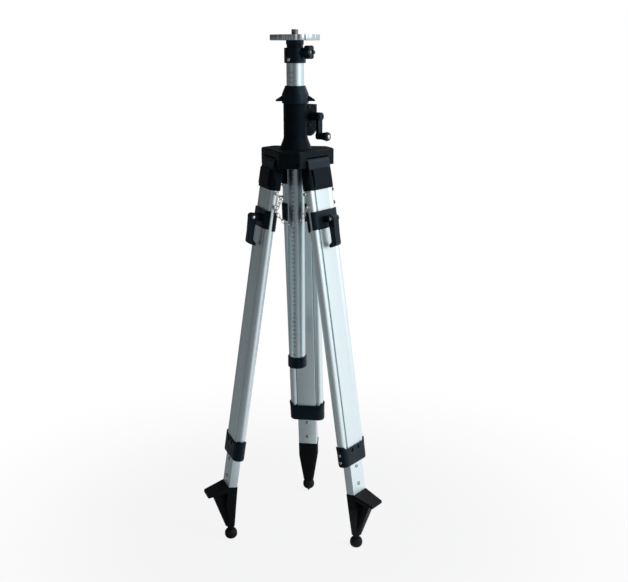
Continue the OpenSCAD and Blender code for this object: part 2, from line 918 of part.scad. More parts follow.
// Column
module column_tube() {
    color(alloy)
        difference() {
            translate([0, 0, column_bottom])
                cylinder(d = column_d, h = column_top - column_bottom);
            translate([0, 0, column_bottom - overrun])
                cylinder(d = column_bore, h = column_top);
            rotate([0, 0, gear_azimuth])
                translate([rack_back, -rack_w / 2 - fit, rack_low - clear])
                    cube([column_d, rack_w + 2 * fit, rack_l + 2 * clear]);
            rotate([0, 0, rivet_azimuth])
                translate([0, 0, head_collar_bottom + rivet_up])
                    along_x(0, column_d, rivet_d + 2 * fit);
        }
}

// The rack's teeth are set so that one lies level with the pinion's shaft at rest
module rack() {
    half_tip = tooth_pitch / 4 - backlash / 2 - rack_addendum * tan(pressure_angle);
    half_root = tooth_pitch / 4 - backlash / 2 + rack_dedendum * tan(pressure_angle);
    root = rack_pitch - rack_dedendum;
    color(steel)
        rotate([0, 0, gear_azimuth])
            across_gear(-rack_w / 2, rack_w / 2)
                polygon(concat(
                    [[rack_back, rack_low], [root, rack_low]],
                    [
                        for (tooth = [0:rack_teeth - 1])
                            let (z = rack_low + (tooth + 1 / 2) * tooth_pitch)
                                each [[root, z - half_root], [rack_tip, z - half_tip],
                                      [rack_tip, z + half_tip], [root, z + half_root]]
                    ],
                    [[root, rack_low + rack_l], [rack_back, rack_low + rack_l]]
                ));
}

module end_cap() {
    low = column_bottom - cap_floor;
    color(black)
        difference() {
            translate([0, 0, low])
                rotate_extrude()
                    polygon([
                        [0, 0], [end_cap_d / 2 - cap_bevel, 0], [end_cap_d / 2, cap_bevel],
                        [end_cap_d / 2, end_cap_h], [0, end_cap_h]
                    ]);
            translate([0, 0, column_bottom])
                cylinder(d = column_d + 2 * fit, h = end_cap_h);
        }
}

module column_plug() {
    color(black)
        translate([0, 0, column_top - spigot_l])
            difference() {
                cylinder(d = column_bore - 2 * fit, h = spigot_l);
                translate([0, 0, -overrun])
                    cylinder(d = spigot_d + 2 * running, h = spigot_l + 2 * overrun);
                rotate([0, 0, rivet_azimuth])
                    translate([0, 0, head_collar_bottom + rivet_up - column_top + spigot_l])
                        along_x(spigot_d / 2, column_d, rivet_d + 2 * fit);
            }
}

// Head
module head_collar() {
    color(black)
        difference() {
            union() {
                translate([0, 0, head_collar_bottom])
                    cylinder(d = collar_d, h = collar_h);
                rotate([0, 0, knob_azimuth])
                    translate([0, 0, knob_z])
                        along_x(0, boss_reach, boss_d);
            }
            translate([0, 0, head_collar_bottom - overrun])
                cylinder(d = column_d + 2 * fit, h = collar_h + 2 * overrun);
            rotate([0, 0, knob_azimuth])
                translate([0, 0, knob_z])
                    along_x(0, boss_reach + overrun, knob_screw_d + 2 * running);
            rotate([0, 0, slit_azimuth])
                translate([0, -slit_w / 2, head_collar_bottom - overrun])
                    cube([collar_d, slit_w, collar_h + 2 * overrun]);
            rotate([0, 0, rivet_azimuth])
                translate([0, 0, head_collar_bottom + rivet_up])
                    along_x(0, collar_d, rivet_d + 2 * fit);
        }
}

module collar_rivet() {
    color(alloy)
        rotate([0, 0, rivet_azimuth])
            translate([0, 0, head_collar_bottom + rivet_up])
                along_x(column_bore / 2 - rivet_tail, collar_d / 2 + rivet_head, rivet_d);
}

module head_neck() {
    color(black)
        difference() {
            union() {
                translate([0, 0, neck_bottom])
                    rotate_extrude()
                        polygon([
                            [0, 0], [neck_d / 2 - neck_groove_depth, 0],
                            [neck_d / 2 - neck_groove_depth, neck_h / 2 - neck_groove_w],
                            [neck_d / 2, neck_h / 2], [neck_d / 2, neck_h], [0, neck_h]
                        ]);
                translate([0, 0, skirt_bottom])
                    cylinder(d = skirt_d, h = neck_bottom - skirt_bottom);
                translate([0, 0, column_top - spigot_l])
                    cylinder(d = spigot_d, h = spigot_l + neck_h);
            }
            translate([0, 0, plate_low - stud_bite])
                cylinder(d = stud_shank_d + 2 * fit, h = head_plate_top);
        }
}

module head_plate() {
    color(alloy)
        difference() {
            translate([0, 0, plate_low])
                rotate_extrude()
                    polygon([
                        [stud_shank_d / 2 + fit, 0], [head_plate_d / 2 - plate_bevel, 0],
                        [head_plate_d / 2, plate_bevel], [head_plate_d / 2, head_plate_t - plate_bevel],
                        [head_plate_d / 2 - plate_bevel, head_plate_t], [plate_recess_d / 2, head_plate_t],
                        [plate_recess_d / 2, head_plate_t - plate_recess],
                        [stud_shank_d / 2 + fit, head_plate_t - plate_recess]
                    ]);
            for (flute = [0:flutes - 1])
                rotate([0, 0, flute * 360 / flutes])
                    translate([head_plate_d / 2 + flute_d / 2 - flute_depth, 0, plate_low - overrun])
                        cylinder(d = flute_d, h = head_plate_t + 2 * overrun);
        }
}

module instrument_stud() {
    stud_low = plate_low - stud_bite + clear;
    stud_high = head_plate_top + stud_up;
    stud_seat = head_plate_top - plate_recess;
    color(brass)
        rotate_extrude()
            polygon([
                [0, stud_low], [stud_shank_d / 2, stud_low], [stud_shank_d / 2, stud_seat],
                [stud_d / 2, stud_seat], [stud_d / 2, stud_high - stud_bevel],
                [stud_d / 2 - stud_bevel, stud_high], [0, stud_high]
            ]);
}

module star_knob() {
    scallop_d = knob_d * scallop_share;
    scallop_r = knob_d / 2 + scallop_d / 2 - scallop_depth;
    color(black)
        rotate([0, 0, knob_azimuth])
            translate([0, 0, knob_z])
                difference() {
                    along_x(knob_start, knob_start + knob_l, knob_d);
                    for (lobe = [0:knob_lobes - 1])
                        rotate([(lobe + 1 / 2) * 360 / knob_lobes, 0, 0])
                            translate([0, 0, scallop_r])
                                along_x(knob_start - overrun, knob_start + knob_l + overrun, scallop_d);
                    along_x(knob_start - overrun, knob_start + knob_l - knob_recess, knob_screw_d + 2 * fit);
                    along_x(knob_start + knob_l - knob_recess, knob_start + knob_l + overrun, knob_recess_d);
                }
}

module knob_screw() {
    color(steel)
        rotate([0, 0, knob_azimuth])
            translate([0, 0, knob_z])
                along_x(skirt_d / 2 + clear, knob_start + knob_l - knob_recess, knob_screw_d);
}

// Legs
module rail_section(grow) {
    difference() {
        stadium(leg_w + 2 * grow, leg_t + 2 * grow);
        square([leg_t + overrun, 2 * (rail_inner - grow)], center = true);
    }
}

module leg_head(leg) {
    color(black)
        on_leg(leg)
            difference() {
                union() {
                    along_y(-hinge_w / 2, hinge_w / 2, barrel_d);
                    translate([-barrel_d / 2, -hinge_w / 2, -shoulder_drop])
                        cube([barrel_d, hinge_w, shoulder_drop]);
                    hull() {
                        translate([-barrel_d / 2, -hinge_w / 2, -shoulder_drop])
                            cube([barrel_d, hinge_w, shoulder_step]);
                        translate([0, 0, -rail_seat])
                            linear_extrude(head_wall, $fn = hull_fn)
                                stadium(leg_w + 2 * head_wall, leg_t + 2 * head_wall);
                    }
                    translate([0, 0, -head_drop])
                        linear_extrude(head_drop - rail_seat)
                            stadium(leg_w + 2 * head_wall, leg_t + 2 * head_wall);
                    translate([0, -pad_w / 2, pad_margin - head_drop])
                        cube([leg_t / 2 + head_wall + pad_t, pad_w, head_drop - shoulder_drop - pad_margin]);
                }
                along_y(-leg_w, leg_w, hinge_pin_d + 2 * running);
                translate([0, 0, -head_drop - overrun])
                    linear_extrude(head_drop - rail_seat + overrun)
                        rail_section(fit);
            }
}

// Chain bolt places in the leg's frame: side and drop
function bolt_places() = [for (side = [-1, 1], drop = [bolt_a_drop, bolt_b_drop]) [side, drop]];
function collar_rivet_places() = [for (share = collar_rivet_shares) [-1, share * guide_h]];

module leg_rails(leg) {
    rail_l = leg_l - rail_seat - rail_foot;
    color(alloy)
        on_leg(leg)
            difference() {
                translate([0, 0, up_leg(rail_foot)])
                    linear_extrude(rail_l)
                        difference() {
                            rail_section(0);
                            square([groove_t, groove_w], center = true);
                            for (side = [-1, 1])
                                translate([0, side * rail_bore_at])
                                    circle(d = rail_bore);
                        }
                for (place = bolt_places())
                    translate([0, 0, -place[1]])
                        along_y(place[0] * leg_w, place[0] * rail_bore_at, bolt_d + 2 * fit);
                for (place = collar_rivet_places())
                    translate([0, 0, up_leg(collar_foot + place[1])])
                        along_y(place[0] * leg_w, place[0] * rail_bore_at, collar_rivet_d + 2 * fit);
            }
}

module guide_collar(leg) {
    color(black)
        on_leg(leg)
            difference() {
                translate([0, 0, up_leg(collar_foot)])
                    linear_extrude(guide_h)
                        stadium(leg_w + 2 * guide_side_wall, leg_t + 2 * guide_wall);
                translate([0, 0, up_leg(collar_foot + guide_floor)])
                    linear_extrude(guide_h)
                        stadium(leg_w + 2 * fit, leg_t + 2 * fit);
                translate([0, 0, up_leg(collar_foot - overrun)])
                    linear_extrude(guide_h)
                        square([bar_t + 2 * clear, bar_w + 2 * clear], center = true);
                for (place = collar_rivet_places())
                    translate([0, 0, up_leg(collar_foot + place[1])])
                        along_y(0, place[0] * leg_w, collar_rivet_d + 2 * fit);
            }
}

module leg_fasteners(leg) {
    side_face = leg_w / 2;
    neck_end = side_face + bolt_neck_l;
    color(steel)
        on_leg(leg) {
            for (place = bolt_places())
                translate([0, 0, -place[1]]) {
                    along_y(place[0] * (side_face - bolt_bite), place[0] * side_face, bolt_d);
                    along_y(place[0] * side_face, place[0] * neck_end, bolt_neck_d);
                    along_y(place[0] * neck_end, place[0] * (neck_end + bolt_head_h), bolt_head_d);
                }
            for (place = collar_rivet_places())
                translate([0, 0, up_leg(collar_foot + place[1])]) {
                    rivet_face = side_face + guide_side_wall;
                    head_face = rivet_face + collar_rivet_head;
                    along_y(place[0] * (side_face - bolt_bite), place[0] * rivet_face, collar_rivet_d);
                    along_y(place[0] * rivet_face, place[0] * head_face, collar_rivet_head_d);
                }
        }
}

// Sliding bar
module slide_bar(leg) {
    bar_l = leg_l - bar_top_drop - shoe_top;
    tongue_foot = collar_foot + guide_floor + slide_travel + slide_gap;
    tongue_l = leg_l - bar_top_drop - tongue_foot;
    color(alloy)
        on_leg(leg)
            difference() {
                union() {
                    translate([0, 0, up_leg(shoe_top)])
                        linear_extrude(bar_l)
                            square([bar_t, bar_w], center = true);
                    translate([0, 0, up_leg(tongue_foot)])
                        linear_extrude(tongue_l)
                            square([tongue_t, tongue_w], center = true);
                }
                translate([0, 0, up_leg(shoe_top - overrun)])
                    linear_extrude(bar_l + 2 * overrun)
                        square([bar_t - 2 * bar_wall, bar_w - 2 * bar_wall], center = true);
                translate([0, 0, -clamp_bolt_drop])
                    along_x(-leg_t, leg_t, clamp_bolt_d + 2 * fit);
                for (rise = foot_rivet_rise)
                    translate([0, 0, up_leg(shoe_top + rise)])
                        along_x(-leg_t, leg_t, foot_rivet_d + 2 * fit);
            }
}

// Leg clamps
module shell_section(side) {
    intersection() {
        difference() {
            stadium(shell_outer_w, shell_outer_t);
            stadium(shell_inner_w, shell_inner_t);
        }
        translate([side > 0 ? clamp_split : -clamp_split - leg_t, -leg_w])
            square([leg_t, 2 * leg_w]);
    }
    pad_start = bar_t / 2 + fit;
    translate([side > 0 ? pad_start : -shell_inner_t / 2 - bar_pad_root, -bar_pad_w / 2])
        square([shell_inner_t / 2 + bar_pad_root - pad_start, bar_pad_w]);
}

module cheek_outline() {
    translate([shell_outer_t / 2 - overrun, -cheek_d / 2])
        square([lever_out - shell_outer_t / 2 + overrun, cheek_d]);
    translate([lever_out, 0])
        circle(d = cheek_d);
}

module clamp_outer(leg) {
    cheek_start = lever_w / 2 + cheek_gap;
    color(black)
        on_leg(leg)
            difference() {
                union() {
                    translate([0, 0, -clamp_drop - clamp_h])
                        linear_extrude(clamp_h)
                            shell_section(1);
                    translate([0, 0, -clamp_bolt_drop])
                        for (start = [-cheek_start, cheek_start + cheek_t])
                            across_gear(start - cheek_t, start)
                                cheek_outline();
                }
                translate([0, 0, -clamp_bolt_drop]) {
                    along_x(0, leg_t, clamp_bolt_d + 2 * fit);
                    translate([lever_out, 0, 0])
                        along_y(-lever_w, lever_w, lever_pin_d + 2 * fit);
                }
            }
}

module clamp_inner(leg) {
    boss_end = -shell_outer_t / 2 - nut_boss_l;
    color(black)
        on_leg(leg)
            difference() {
                union() {
                    translate([0, 0, -clamp_bolt_drop - clamp_inner_fall])
                        linear_extrude(clamp_inner_rise + clamp_inner_fall)
                            shell_section(-1);
                    translate([0, 0, -clamp_bolt_drop])
                        along_x(boss_end, -shell_inner_t / 2 - clamp_wall / 2, nut_boss_d);
                }
                translate([0, 0, -clamp_bolt_drop]) {
                    along_x(-leg_t * 2, 0, clamp_bolt_d + 2 * fit);
                    along_x(boss_end - overrun, boss_end + nut_h, nut_d + 2 * fit, $fn = 6);
                }
            }
}

module slide_fasteners(leg) {
    boss_end = -shell_outer_t / 2 - nut_boss_l;
    cap_face = shell_outer_t / 2;
    pin_half = lever_w / 2 + cheek_gap + cheek_t;
    color(steel)
        on_leg(leg) {
            translate([0, 0, -clamp_bolt_drop]) {
                along_x(boss_end, cap_face, clamp_bolt_d);
                along_x(cap_face, cap_face + bolt_cap_h, bolt_cap_d);
                along_x(boss_end, boss_end + nut_h, nut_d, $fn = 6);
                translate([lever_out, 0, 0])
                    along_y(-pin_half, pin_half, lever_pin_d);
            }
            for (rise = foot_rivet_rise)
                translate([0, 0, up_leg(shoe_top + rise)]) {
                    along_x(-bar_t / 2, bar_t / 2, foot_rivet_d);
                    for (face = [-1, 1])
                        along_x(face * bar_t / 2, face * (bar_t / 2 + foot_rivet_head), foot_rivet_head_d);
                }
        }
}

module lever_disc(inward, down, d) {
    translate([lever_out - inward, -down])
        circle(d = d, $fn = hull_fn);
}

module clamp_lever(leg) {
    waist = lever_l * lever_waist_share;
    toe = lever_l * lever_toe_share - lever_toe_d / 2;
    color(black)
        on_leg(leg)
            translate([0, 0, -clamp_bolt_drop])
                difference() {
                    across_gear(-lever_w / 2, lever_w / 2) {
                        hull() {
                            lever_disc(0, 0, lever_boss_d);
                            lever_disc(0, waist, lever_waist_d);
                        }
                        hull() {
                            lever_disc(0, waist, lever_waist_d);
                            lever_disc(0, toe, lever_toe_d);
                        }
                        hull() {
                            lever_disc(0, toe, lever_toe_d);
                            lever_disc(lever_hook_in, lever_l - lever_hook_d / 2, lever_hook_d);
                        }
                    }
                    translate([lever_out, 0, 0])
                        along_y(-lever_w, lever_w, lever_pin_d + 2 * running);
                }
}

// Feet
module shoe_block(from, to) {
    translate([-shoe_t / 2, -shoe_w / 2, up_leg(from)])
        cube([shoe_t, shoe_w, to - from]);
}

module ankle() {
    for (side = [-1, 1])
        translate([0, side * ankle_half, ankle_h])
            cylinder(d = foot_nose_d, h = ankle_t, $fn = hull_fn);
}

module foot_shoe(leg) {
    color(black)
        difference() {
            union() {
                on_leg(leg)
                    translate([0, 0, up_leg(shoe_top) - overrun])
                        linear_extrude(plug_h + overrun)
                            square([bar_t - 2 * plug_skin, bar_w - 2 * plug_skin], center = true);
                hull() {
                    on_leg(leg)
                        shoe_block(shoe_top - shoe_straight, shoe_top);
                    at_foot(leg)
                        ankle();
                }
                hull()
                    on_leg(leg) {
                        translate([0, -shoe_w / 2, up_leg(shoe_top) - tread_root])
                            cube([shoe_t / 2, shoe_w, tread_root]);
                        translate([tread_reach - tread_lip, -tread_tip_w / 2, up_leg(tread_low)])
                            cube([tread_lip, tread_tip_w, tread_t]);
                    }
                hull() {
                    on_leg(leg) {
                        translate([0, -web_t / 2, up_leg(shoe_top) - tread_root])
                            cube([shoe_t / 2, web_t, tread_root / 2]);
                        translate([tread_reach * web_share, -web_t / 2, up_leg(tread_low)])
                            cube([tread_lip, web_t, tread_t / 2]);
                    }
                    at_foot(leg)
                        translate([web_out, 0, ankle_h])
                            cylinder(d = web_t, h = ankle_t, $fn = hull_fn);
                }
                at_foot(leg)
                    translate([0, 0, foot_nose_bottom])
                        cylinder(d = foot_nose_d, h = ankle_h + ankle_t - foot_nose_bottom);
            }
            at_foot(leg)
                translate([0, 0, foot_nose_bottom - overrun])
                    cylinder(d = spike_d + 2 * fit, h = spike_l + fit - foot_nose_bottom + overrun);
            on_leg(leg)
                for (rise = foot_rivet_rise)
                    translate([0, 0, up_leg(shoe_top + rise)])
                        along_x(-leg_t, leg_t, foot_rivet_d + 2 * fit);
        }
}

module foot_spike(leg) {
    color(steel)
        at_foot(leg)
            rotate_extrude()
                polygon([
                    [0, 0], [spike_point_d / 2, 0], [spike_head_d / 2, spike_cone],
                    [spike_head_d / 2, foot_nose_bottom - clear], [spike_d / 2, foot_nose_bottom - clear],
                    [spike_d / 2, spike_l], [0, spike_l]
                ]);
}

module rubber_tip(leg) {
    bulge = tip_h / 2;
    color(rubber)
        at_foot(leg)
            translate([0, 0, tip_lift[leg]])
                difference() {
                    rotate_extrude()
                        intersection() {
                            translate([0, bulge])
                                circle(d = tip_d);
                            square([tip_d, tip_h]);
                        }
                    translate([0, 0, -overrun])
                        cylinder(d = spike_head_d + 2 * clear, h = tip_h);
                    translate([0, 0, tip_floor])
                        cylinder(d = foot_nose_d + 2 * running, h = tip_h);
                }
}

// Chains: a link lies along X, its ring in the XY plane
module link() {
    linear_extrude(link_wire, center = true)
        rotate(90)
            difference() {
                stadium(link_inner_l + 2 * link_wire, link_gap + 2 * link_wire);
                stadium(link_inner_l, link_gap);
            }
}

module leg_chains() {
    color(steel)
        for (corner = [0:2])
            rotate([0, 0, corner_azimuth(corner)])
                translate([chain_r, 0, eye_z + chain_lift])
                    for (step = [0:chain_links - 1]) {
                        a = chain_point(-chain_half_l + step * link_pitch);
                        b = chain_point(-chain_half_l + (step + 1) * link_pitch);
                        middle = (a + b) / 2;
                        slope = atan2(b[1] - a[1], b[0] - a[0]);
                        translate([0, middle[0], middle[1]])
                            rotate([0, 0, 90])
                                rotate([0, -slope, 0])
                                    rotate([step % 2 == 0 ? 90 : 0, 0, 0])
                                        link();
                    }
}

// Assembly
crown();
hinge_pins();
elevator_housing();
gear_cover();
housing_screws();
lower_bush();
collet();
lock_ring();
drive_pinion();
crank_arm();
crank_fasteners();
crank_grip();
column_tube();
rack();
end_cap();
column_plug();
head_collar();
collar_rivet();
head_neck();
head_plate();
instrument_stud();
star_knob();
knob_screw();
leg_chains();
for (leg = [0:2]) {
    leg_head(leg);
    leg_rails(leg);
    guide_collar(leg);
    leg_fasteners(leg);
    slide_bar(leg);
    clamp_outer(leg);
    clamp_inner(leg);
    slide_fasteners(leg);
    clamp_lever(leg);
    foot_shoe(leg);
    foot_spike(leg);
    rubber_tip(leg);
}
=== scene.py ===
import bmesh
import bpy
import json
import math
from mathutils import Matrix, Vector

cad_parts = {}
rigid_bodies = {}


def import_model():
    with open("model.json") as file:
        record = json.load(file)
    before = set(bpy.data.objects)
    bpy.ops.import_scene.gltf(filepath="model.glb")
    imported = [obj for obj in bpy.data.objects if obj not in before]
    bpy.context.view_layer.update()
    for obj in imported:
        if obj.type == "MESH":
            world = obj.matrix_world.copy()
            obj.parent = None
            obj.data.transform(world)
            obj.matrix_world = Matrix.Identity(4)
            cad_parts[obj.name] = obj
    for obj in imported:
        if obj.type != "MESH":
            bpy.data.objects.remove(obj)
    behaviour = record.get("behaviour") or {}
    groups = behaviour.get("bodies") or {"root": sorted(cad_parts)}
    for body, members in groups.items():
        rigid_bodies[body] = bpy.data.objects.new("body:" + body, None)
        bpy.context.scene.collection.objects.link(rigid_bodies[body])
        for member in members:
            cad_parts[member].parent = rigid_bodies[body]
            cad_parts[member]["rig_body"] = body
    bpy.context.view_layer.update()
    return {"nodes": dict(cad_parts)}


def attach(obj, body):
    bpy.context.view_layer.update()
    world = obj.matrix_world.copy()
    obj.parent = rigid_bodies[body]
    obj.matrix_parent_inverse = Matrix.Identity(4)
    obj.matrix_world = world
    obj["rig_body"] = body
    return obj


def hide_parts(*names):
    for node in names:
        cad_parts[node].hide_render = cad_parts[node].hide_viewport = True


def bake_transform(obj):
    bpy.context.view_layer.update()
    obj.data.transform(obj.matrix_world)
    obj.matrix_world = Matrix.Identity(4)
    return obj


# Elevating tripod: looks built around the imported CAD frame. Lengths below are millimetres.
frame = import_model()

MM = 0.001
TAU = 2 * math.pi
LEGS = ("back", "left", "right")
LEAN = math.radians(8.93)
HINGE_R, HINGE_Z = 54.5, 895.0
FOOT_INSET = 20.7
LEG_L = HINGE_Z / math.cos(LEAN)
LEG_HALF_W = 42.0
FOOT_R = HINGE_R + HINGE_Z * math.tan(LEAN) - FOOT_INSET
COLLAR_FOOT, COLLAR_H, COLLAR_FLOOR = 215.0, 42.0, 4.0
SHOE_TOP = 143.0
SLIDE_TRAVEL, SLIDE_GAP = 450.0, 1.0
CLAMP_Z = -124.0
LEVER_OUT = 31.0
CHAIN_BOLT_DROPS, CHAIN_BOLT_GAP = (64.0, 93.0), 8.0
GEAR_Z, GEAR_AZIMUTH, SHAFT_OUT = 993.0, 54.0, 26.495
CRANK_REACH = 42.0
KNOB_Z, KNOB_AZIMUTH = 1128.7, -26.0
SCALE_AZIMUTH = -112.0
RIM_BEVEL = 0.25


# Frames
def turn(angle, axis):
    return Matrix.Rotation(math.radians(angle), 4, axis)


def move(x, y, z):
    return Matrix.Translation((x, y, z))


def to_metres(matrix):
    """The same frame with its place in metres."""
    made = matrix.copy()
    made.translation = matrix.translation * MM
    return made


def leg_azimuth(leg):
    return 90 + 120 * leg


def leg_frame(leg):
    """A leg's own frame: X outward, Y across and Z up the leg, from its hinge."""
    return turn(leg_azimuth(leg), "Z") @ move(HINGE_R, 0, HINGE_Z) @ Matrix.Rotation(-LEAN, 4, "Y")


def foot_frame(leg):
    return turn(leg_azimuth(leg), "Z") @ move(FOOT_R, 0, 0)


def up_leg(height):
    """Place along the leg in its own frame, from a height along the leg above the floor."""
    return height - LEG_L


CENTRE = Matrix.Identity(4)
GEAR_BOX = move(0, 0, GEAR_Z) @ turn(GEAR_AZIMUTH, "Z")
SHAFT = GEAR_BOX @ move(SHAFT_OUT, 0, 0)
KNOB = turn(KNOB_AZIMUTH, "Z") @ move(0, 0, KNOB_Z)
ALONG_X = turn(90, "Y")


# Materials
WORN_EDGE = (0.56, 0.66)
BRIGHT_EDGE = (0.53, 0.62)
COLOUR_A, COLOUR_B, COLOUR_RESULT = 6, 7, 2


class Look:
    """A procedural material. Its texture lies in the piece's own frame, which the mesh keeps.

    An inner material is for the CAD nodes that stay, and takes their object coordinates."""

    def __init__(self, name, colour, roughness, metallic=0.0, specular=0.5):
        self.material = bpy.data.materials.new(name)
        self.material.use_nodes = True
        self.tree = self.material.node_tree
        self.shader = self.tree.nodes["Principled BSDF"]
        self.colour = colour
        self.set("Base Color", (*colour, 1))
        self.set("Roughness", roughness)
        self.set("Metallic", metallic)
        self.set("Specular IOR Level", specular)
        if name.startswith("inner"):
            self.coords = self.node("TexCoord").outputs["Object"]
        else:
            place = self.node("Attribute")
            place.attribute_name = "own_frame"
            self.coords = place.outputs["Vector"]
        self.material.diffuse_color = (*colour, 1)

    def set(self, socket, value):
        self.shader.inputs[socket].default_value = value

    def node(self, kind):
        return self.tree.nodes.new("ShaderNode" + kind)

    def feed(self, socket, value):
        if isinstance(value, bpy.types.NodeSocket):
            self.tree.links.new(value, socket)
        else:
            socket.default_value = value

    def stretched(self, stretch):
        mapping = self.node("Mapping")
        self.feed(mapping.inputs["Vector"], self.coords)
        mapping.inputs["Scale"].default_value = stretch
        return mapping.outputs["Vector"]

    def noise(self, scale, stretch=None, detail=3.0, coords=None):
        made = self.node("TexNoise")
        self.feed(made.inputs["Vector"], coords or (self.stretched(stretch) if stretch else self.coords))
        made.inputs["Scale"].default_value = scale
        made.inputs["Detail"].default_value = detail
        return made.outputs["Fac"]

    def spread(self, source, low, high, new_low, new_high):
        made = self.node("MapRange")
        for socket, value in zip(("Value", "From Min", "From Max", "To Min", "To Max"),
                                 (source, low, high, new_low, new_high)):
            self.feed(made.inputs[socket], value)
        return made.outputs["Result"]

    def maths(self, operation, a, b=0.0):
        made = self.node("Math")
        made.operation = operation
        self.feed(made.inputs[0], a)
        self.feed(made.inputs[1], b)
        return made.outputs[0]

    def mix(self, share, a, b):
        made = self.node("Mix")
        made.data_type = "RGBA"
        self.feed(made.inputs["Factor"], share)
        for socket, value in ((COLOUR_A, a), (COLOUR_B, b)):
            linked = isinstance(value, bpy.types.NodeSocket)
            self.feed(made.inputs[socket], value if linked else (*value, 1))
        return made.outputs[COLOUR_RESULT]

    def tint(self, share, other):
        """Moves the base colour towards another where share is high."""
        base = self.shader.inputs["Base Color"]
        before = base.links[0].from_socket if base.is_linked else self.colour
        self.feed(base, self.mix(share, before, other))

    def bump(self, height, strength, distance):
        made = self.node("Bump")
        self.feed(made.inputs["Height"], height)
        made.inputs["Strength"].default_value = strength
        made.inputs["Distance"].default_value = distance * MM
        before = self.shader.inputs["Normal"]
        if before.is_linked:
            self.feed(made.inputs["Normal"], before.links[0].from_socket)
        self.feed(self.shader.inputs["Normal"], made.outputs["Normal"])

    def edge(self, reach, most):
        """Share of wear on outer edges, between two levels of pointiness."""
        return self.spread(self.node("NewGeometry").outputs["Pointiness"], *reach, 0.0, most)

    def vary_roughness(self, source, low, high):
        """Roughness that follows the middle of a noise."""
        self.feed(self.shader.inputs["Roughness"], self.spread(source, 0.3, 0.7, low, high))


def moulded(name, colour, roughness, worn, grain=1300, specular=0.36, painted_highlight_tint=(0.36, 0.7, 1.0),
            edge_wear=0.5):
    """Black moulded or painted surface: fine grain, faint clouding, scuffs, paler edges and highlights
    painted cool blue.
    """
    look = Look(name, colour, roughness, specular=specular)
    # Specular Tint paints the highlights cool blue. This stands in for bluish daylight falling on the black
    # parts.
    look.set("Specular Tint", (*painted_highlight_tint, 1))
    clouds = look.noise(45, detail=4)
    look.tint(look.spread(clouds, 0.35, 0.7, 0.0, 0.5), [1.55 * c + 0.002 for c in colour])
    scuffs = look.noise(260, stretch=(1, 1, 0.22), detail=5)
    look.tint(look.spread(scuffs, 0.66, 0.78, 0.0, 0.35), worn)
    look.tint(look.edge(WORN_EDGE, edge_wear), worn)
    look.vary_roughness(clouds, roughness - 0.07, roughness + 0.08)
    look.bump(look.noise(grain, detail=2), 0.22, 0.25)
    look.bump(look.noise(130, detail=2), 0.08, 0.5)
    return look.material


def extruded(name, colour, roughness, lines=1500):
    """Satin anodised extrusion: fine lines along the length, faint blotches and handling marks."""
    look = Look(name, colour, roughness, metallic=1.0)
    streaks = look.noise(lines, stretch=(1, 1, 0.006), detail=3)
    blotches = look.noise(26, stretch=(1, 1, 0.35), detail=4)
    look.tint(look.spread(streaks, 0.3, 0.7, 0.0, 0.35), [0.84 * c for c in colour])
    look.tint(look.spread(blotches, 0.45, 0.75, 0.0, 0.3), [0.9 * c for c in colour])
    marks = look.noise(420, stretch=(1, 1, 0.05), detail=5)
    look.tint(look.spread(marks, 0.69, 0.78, 0.0, 0.4), [0.66 * c for c in colour])
    fine = look.spread(streaks, 0.3, 0.7, roughness - 0.06, roughness + 0.07)
    coarse = look.spread(blotches, 0.3, 0.7, 0.0, 0.06)
    look.feed(look.shader.inputs["Roughness"], look.maths("ADD", fine, coarse))
    look.bump(streaks, 0.12, 0.15)
    return look.material


def turned(name, colour, roughness):
    """Machined metal: fine rings round the axis."""
    look = Look(name, colour, roughness, metallic=1.0)
    apart = look.node("SeparateXYZ")
    look.feed(apart.inputs["Vector"], look.coords)
    square = [look.maths("MULTIPLY", apart.outputs[axis], apart.outputs[axis]) for axis in (0, 1)]
    radius = look.maths("SQRT", look.maths("ADD", *square))
    join = look.node("CombineXYZ")
    look.feed(join.inputs["X"], radius)
    look.feed(join.inputs["Y"], apart.outputs[2])
    rings = look.noise(2600, detail=2, coords=join.outputs["Vector"])
    look.tint(look.spread(rings, 0.3, 0.7, 0.0, 0.4), [0.8 * c for c in colour])
    stains = look.noise(60, detail=4)
    look.tint(look.spread(stains, 0.5, 0.8, 0.0, 0.35), [0.75 * c for c in colour])
    look.vary_roughness(stains, roughness - 0.05, roughness + 0.1)
    look.bump(rings, 0.25, 0.12)
    return look.material


def plated(name, colour, roughness, dull):
    """Plated steel or brass fittings with dull patches and bright edges."""
    look = Look(name, colour, roughness, metallic=1.0)
    patches = look.noise(320, detail=4)
    look.tint(look.spread(patches, 0.4, 0.7, 0.0, 0.6), dull)
    look.tint(look.edge(BRIGHT_EDGE, 0.5), [min(1.0, 1.3 * c) for c in colour])
    look.vary_roughness(patches, roughness - 0.08, roughness + 0.14)
    look.bump(look.noise(1800, detail=2), 0.1, 0.1)
    return look.material


def rubbery(name, colour):
    """Matt rubber with dust and paler edges."""
    look = Look(name, colour, 0.78, specular=0.3)
    dust = look.noise(220, detail=5)
    look.tint(look.spread(dust, 0.52, 0.75, 0.0, 0.55), (0.05, 0.05, 0.05))
    look.tint(look.edge(BRIGHT_EDGE, 0.5), (0.07, 0.068, 0.065))
    look.vary_roughness(dust, 0.68, 0.86)
    look.bump(look.noise(1600, detail=3), 0.3, 0.3)
    return look.material


def printed(name, colour):
    """Printed scale ink with worn patches."""
    look = Look(name, colour, 0.6, specular=0.3)
    wear = look.noise(900, detail=4)
    look.tint(look.spread(wear, 0.56, 0.72, 0.0, 0.6), (0.25, 0.26, 0.27))
    return look.material


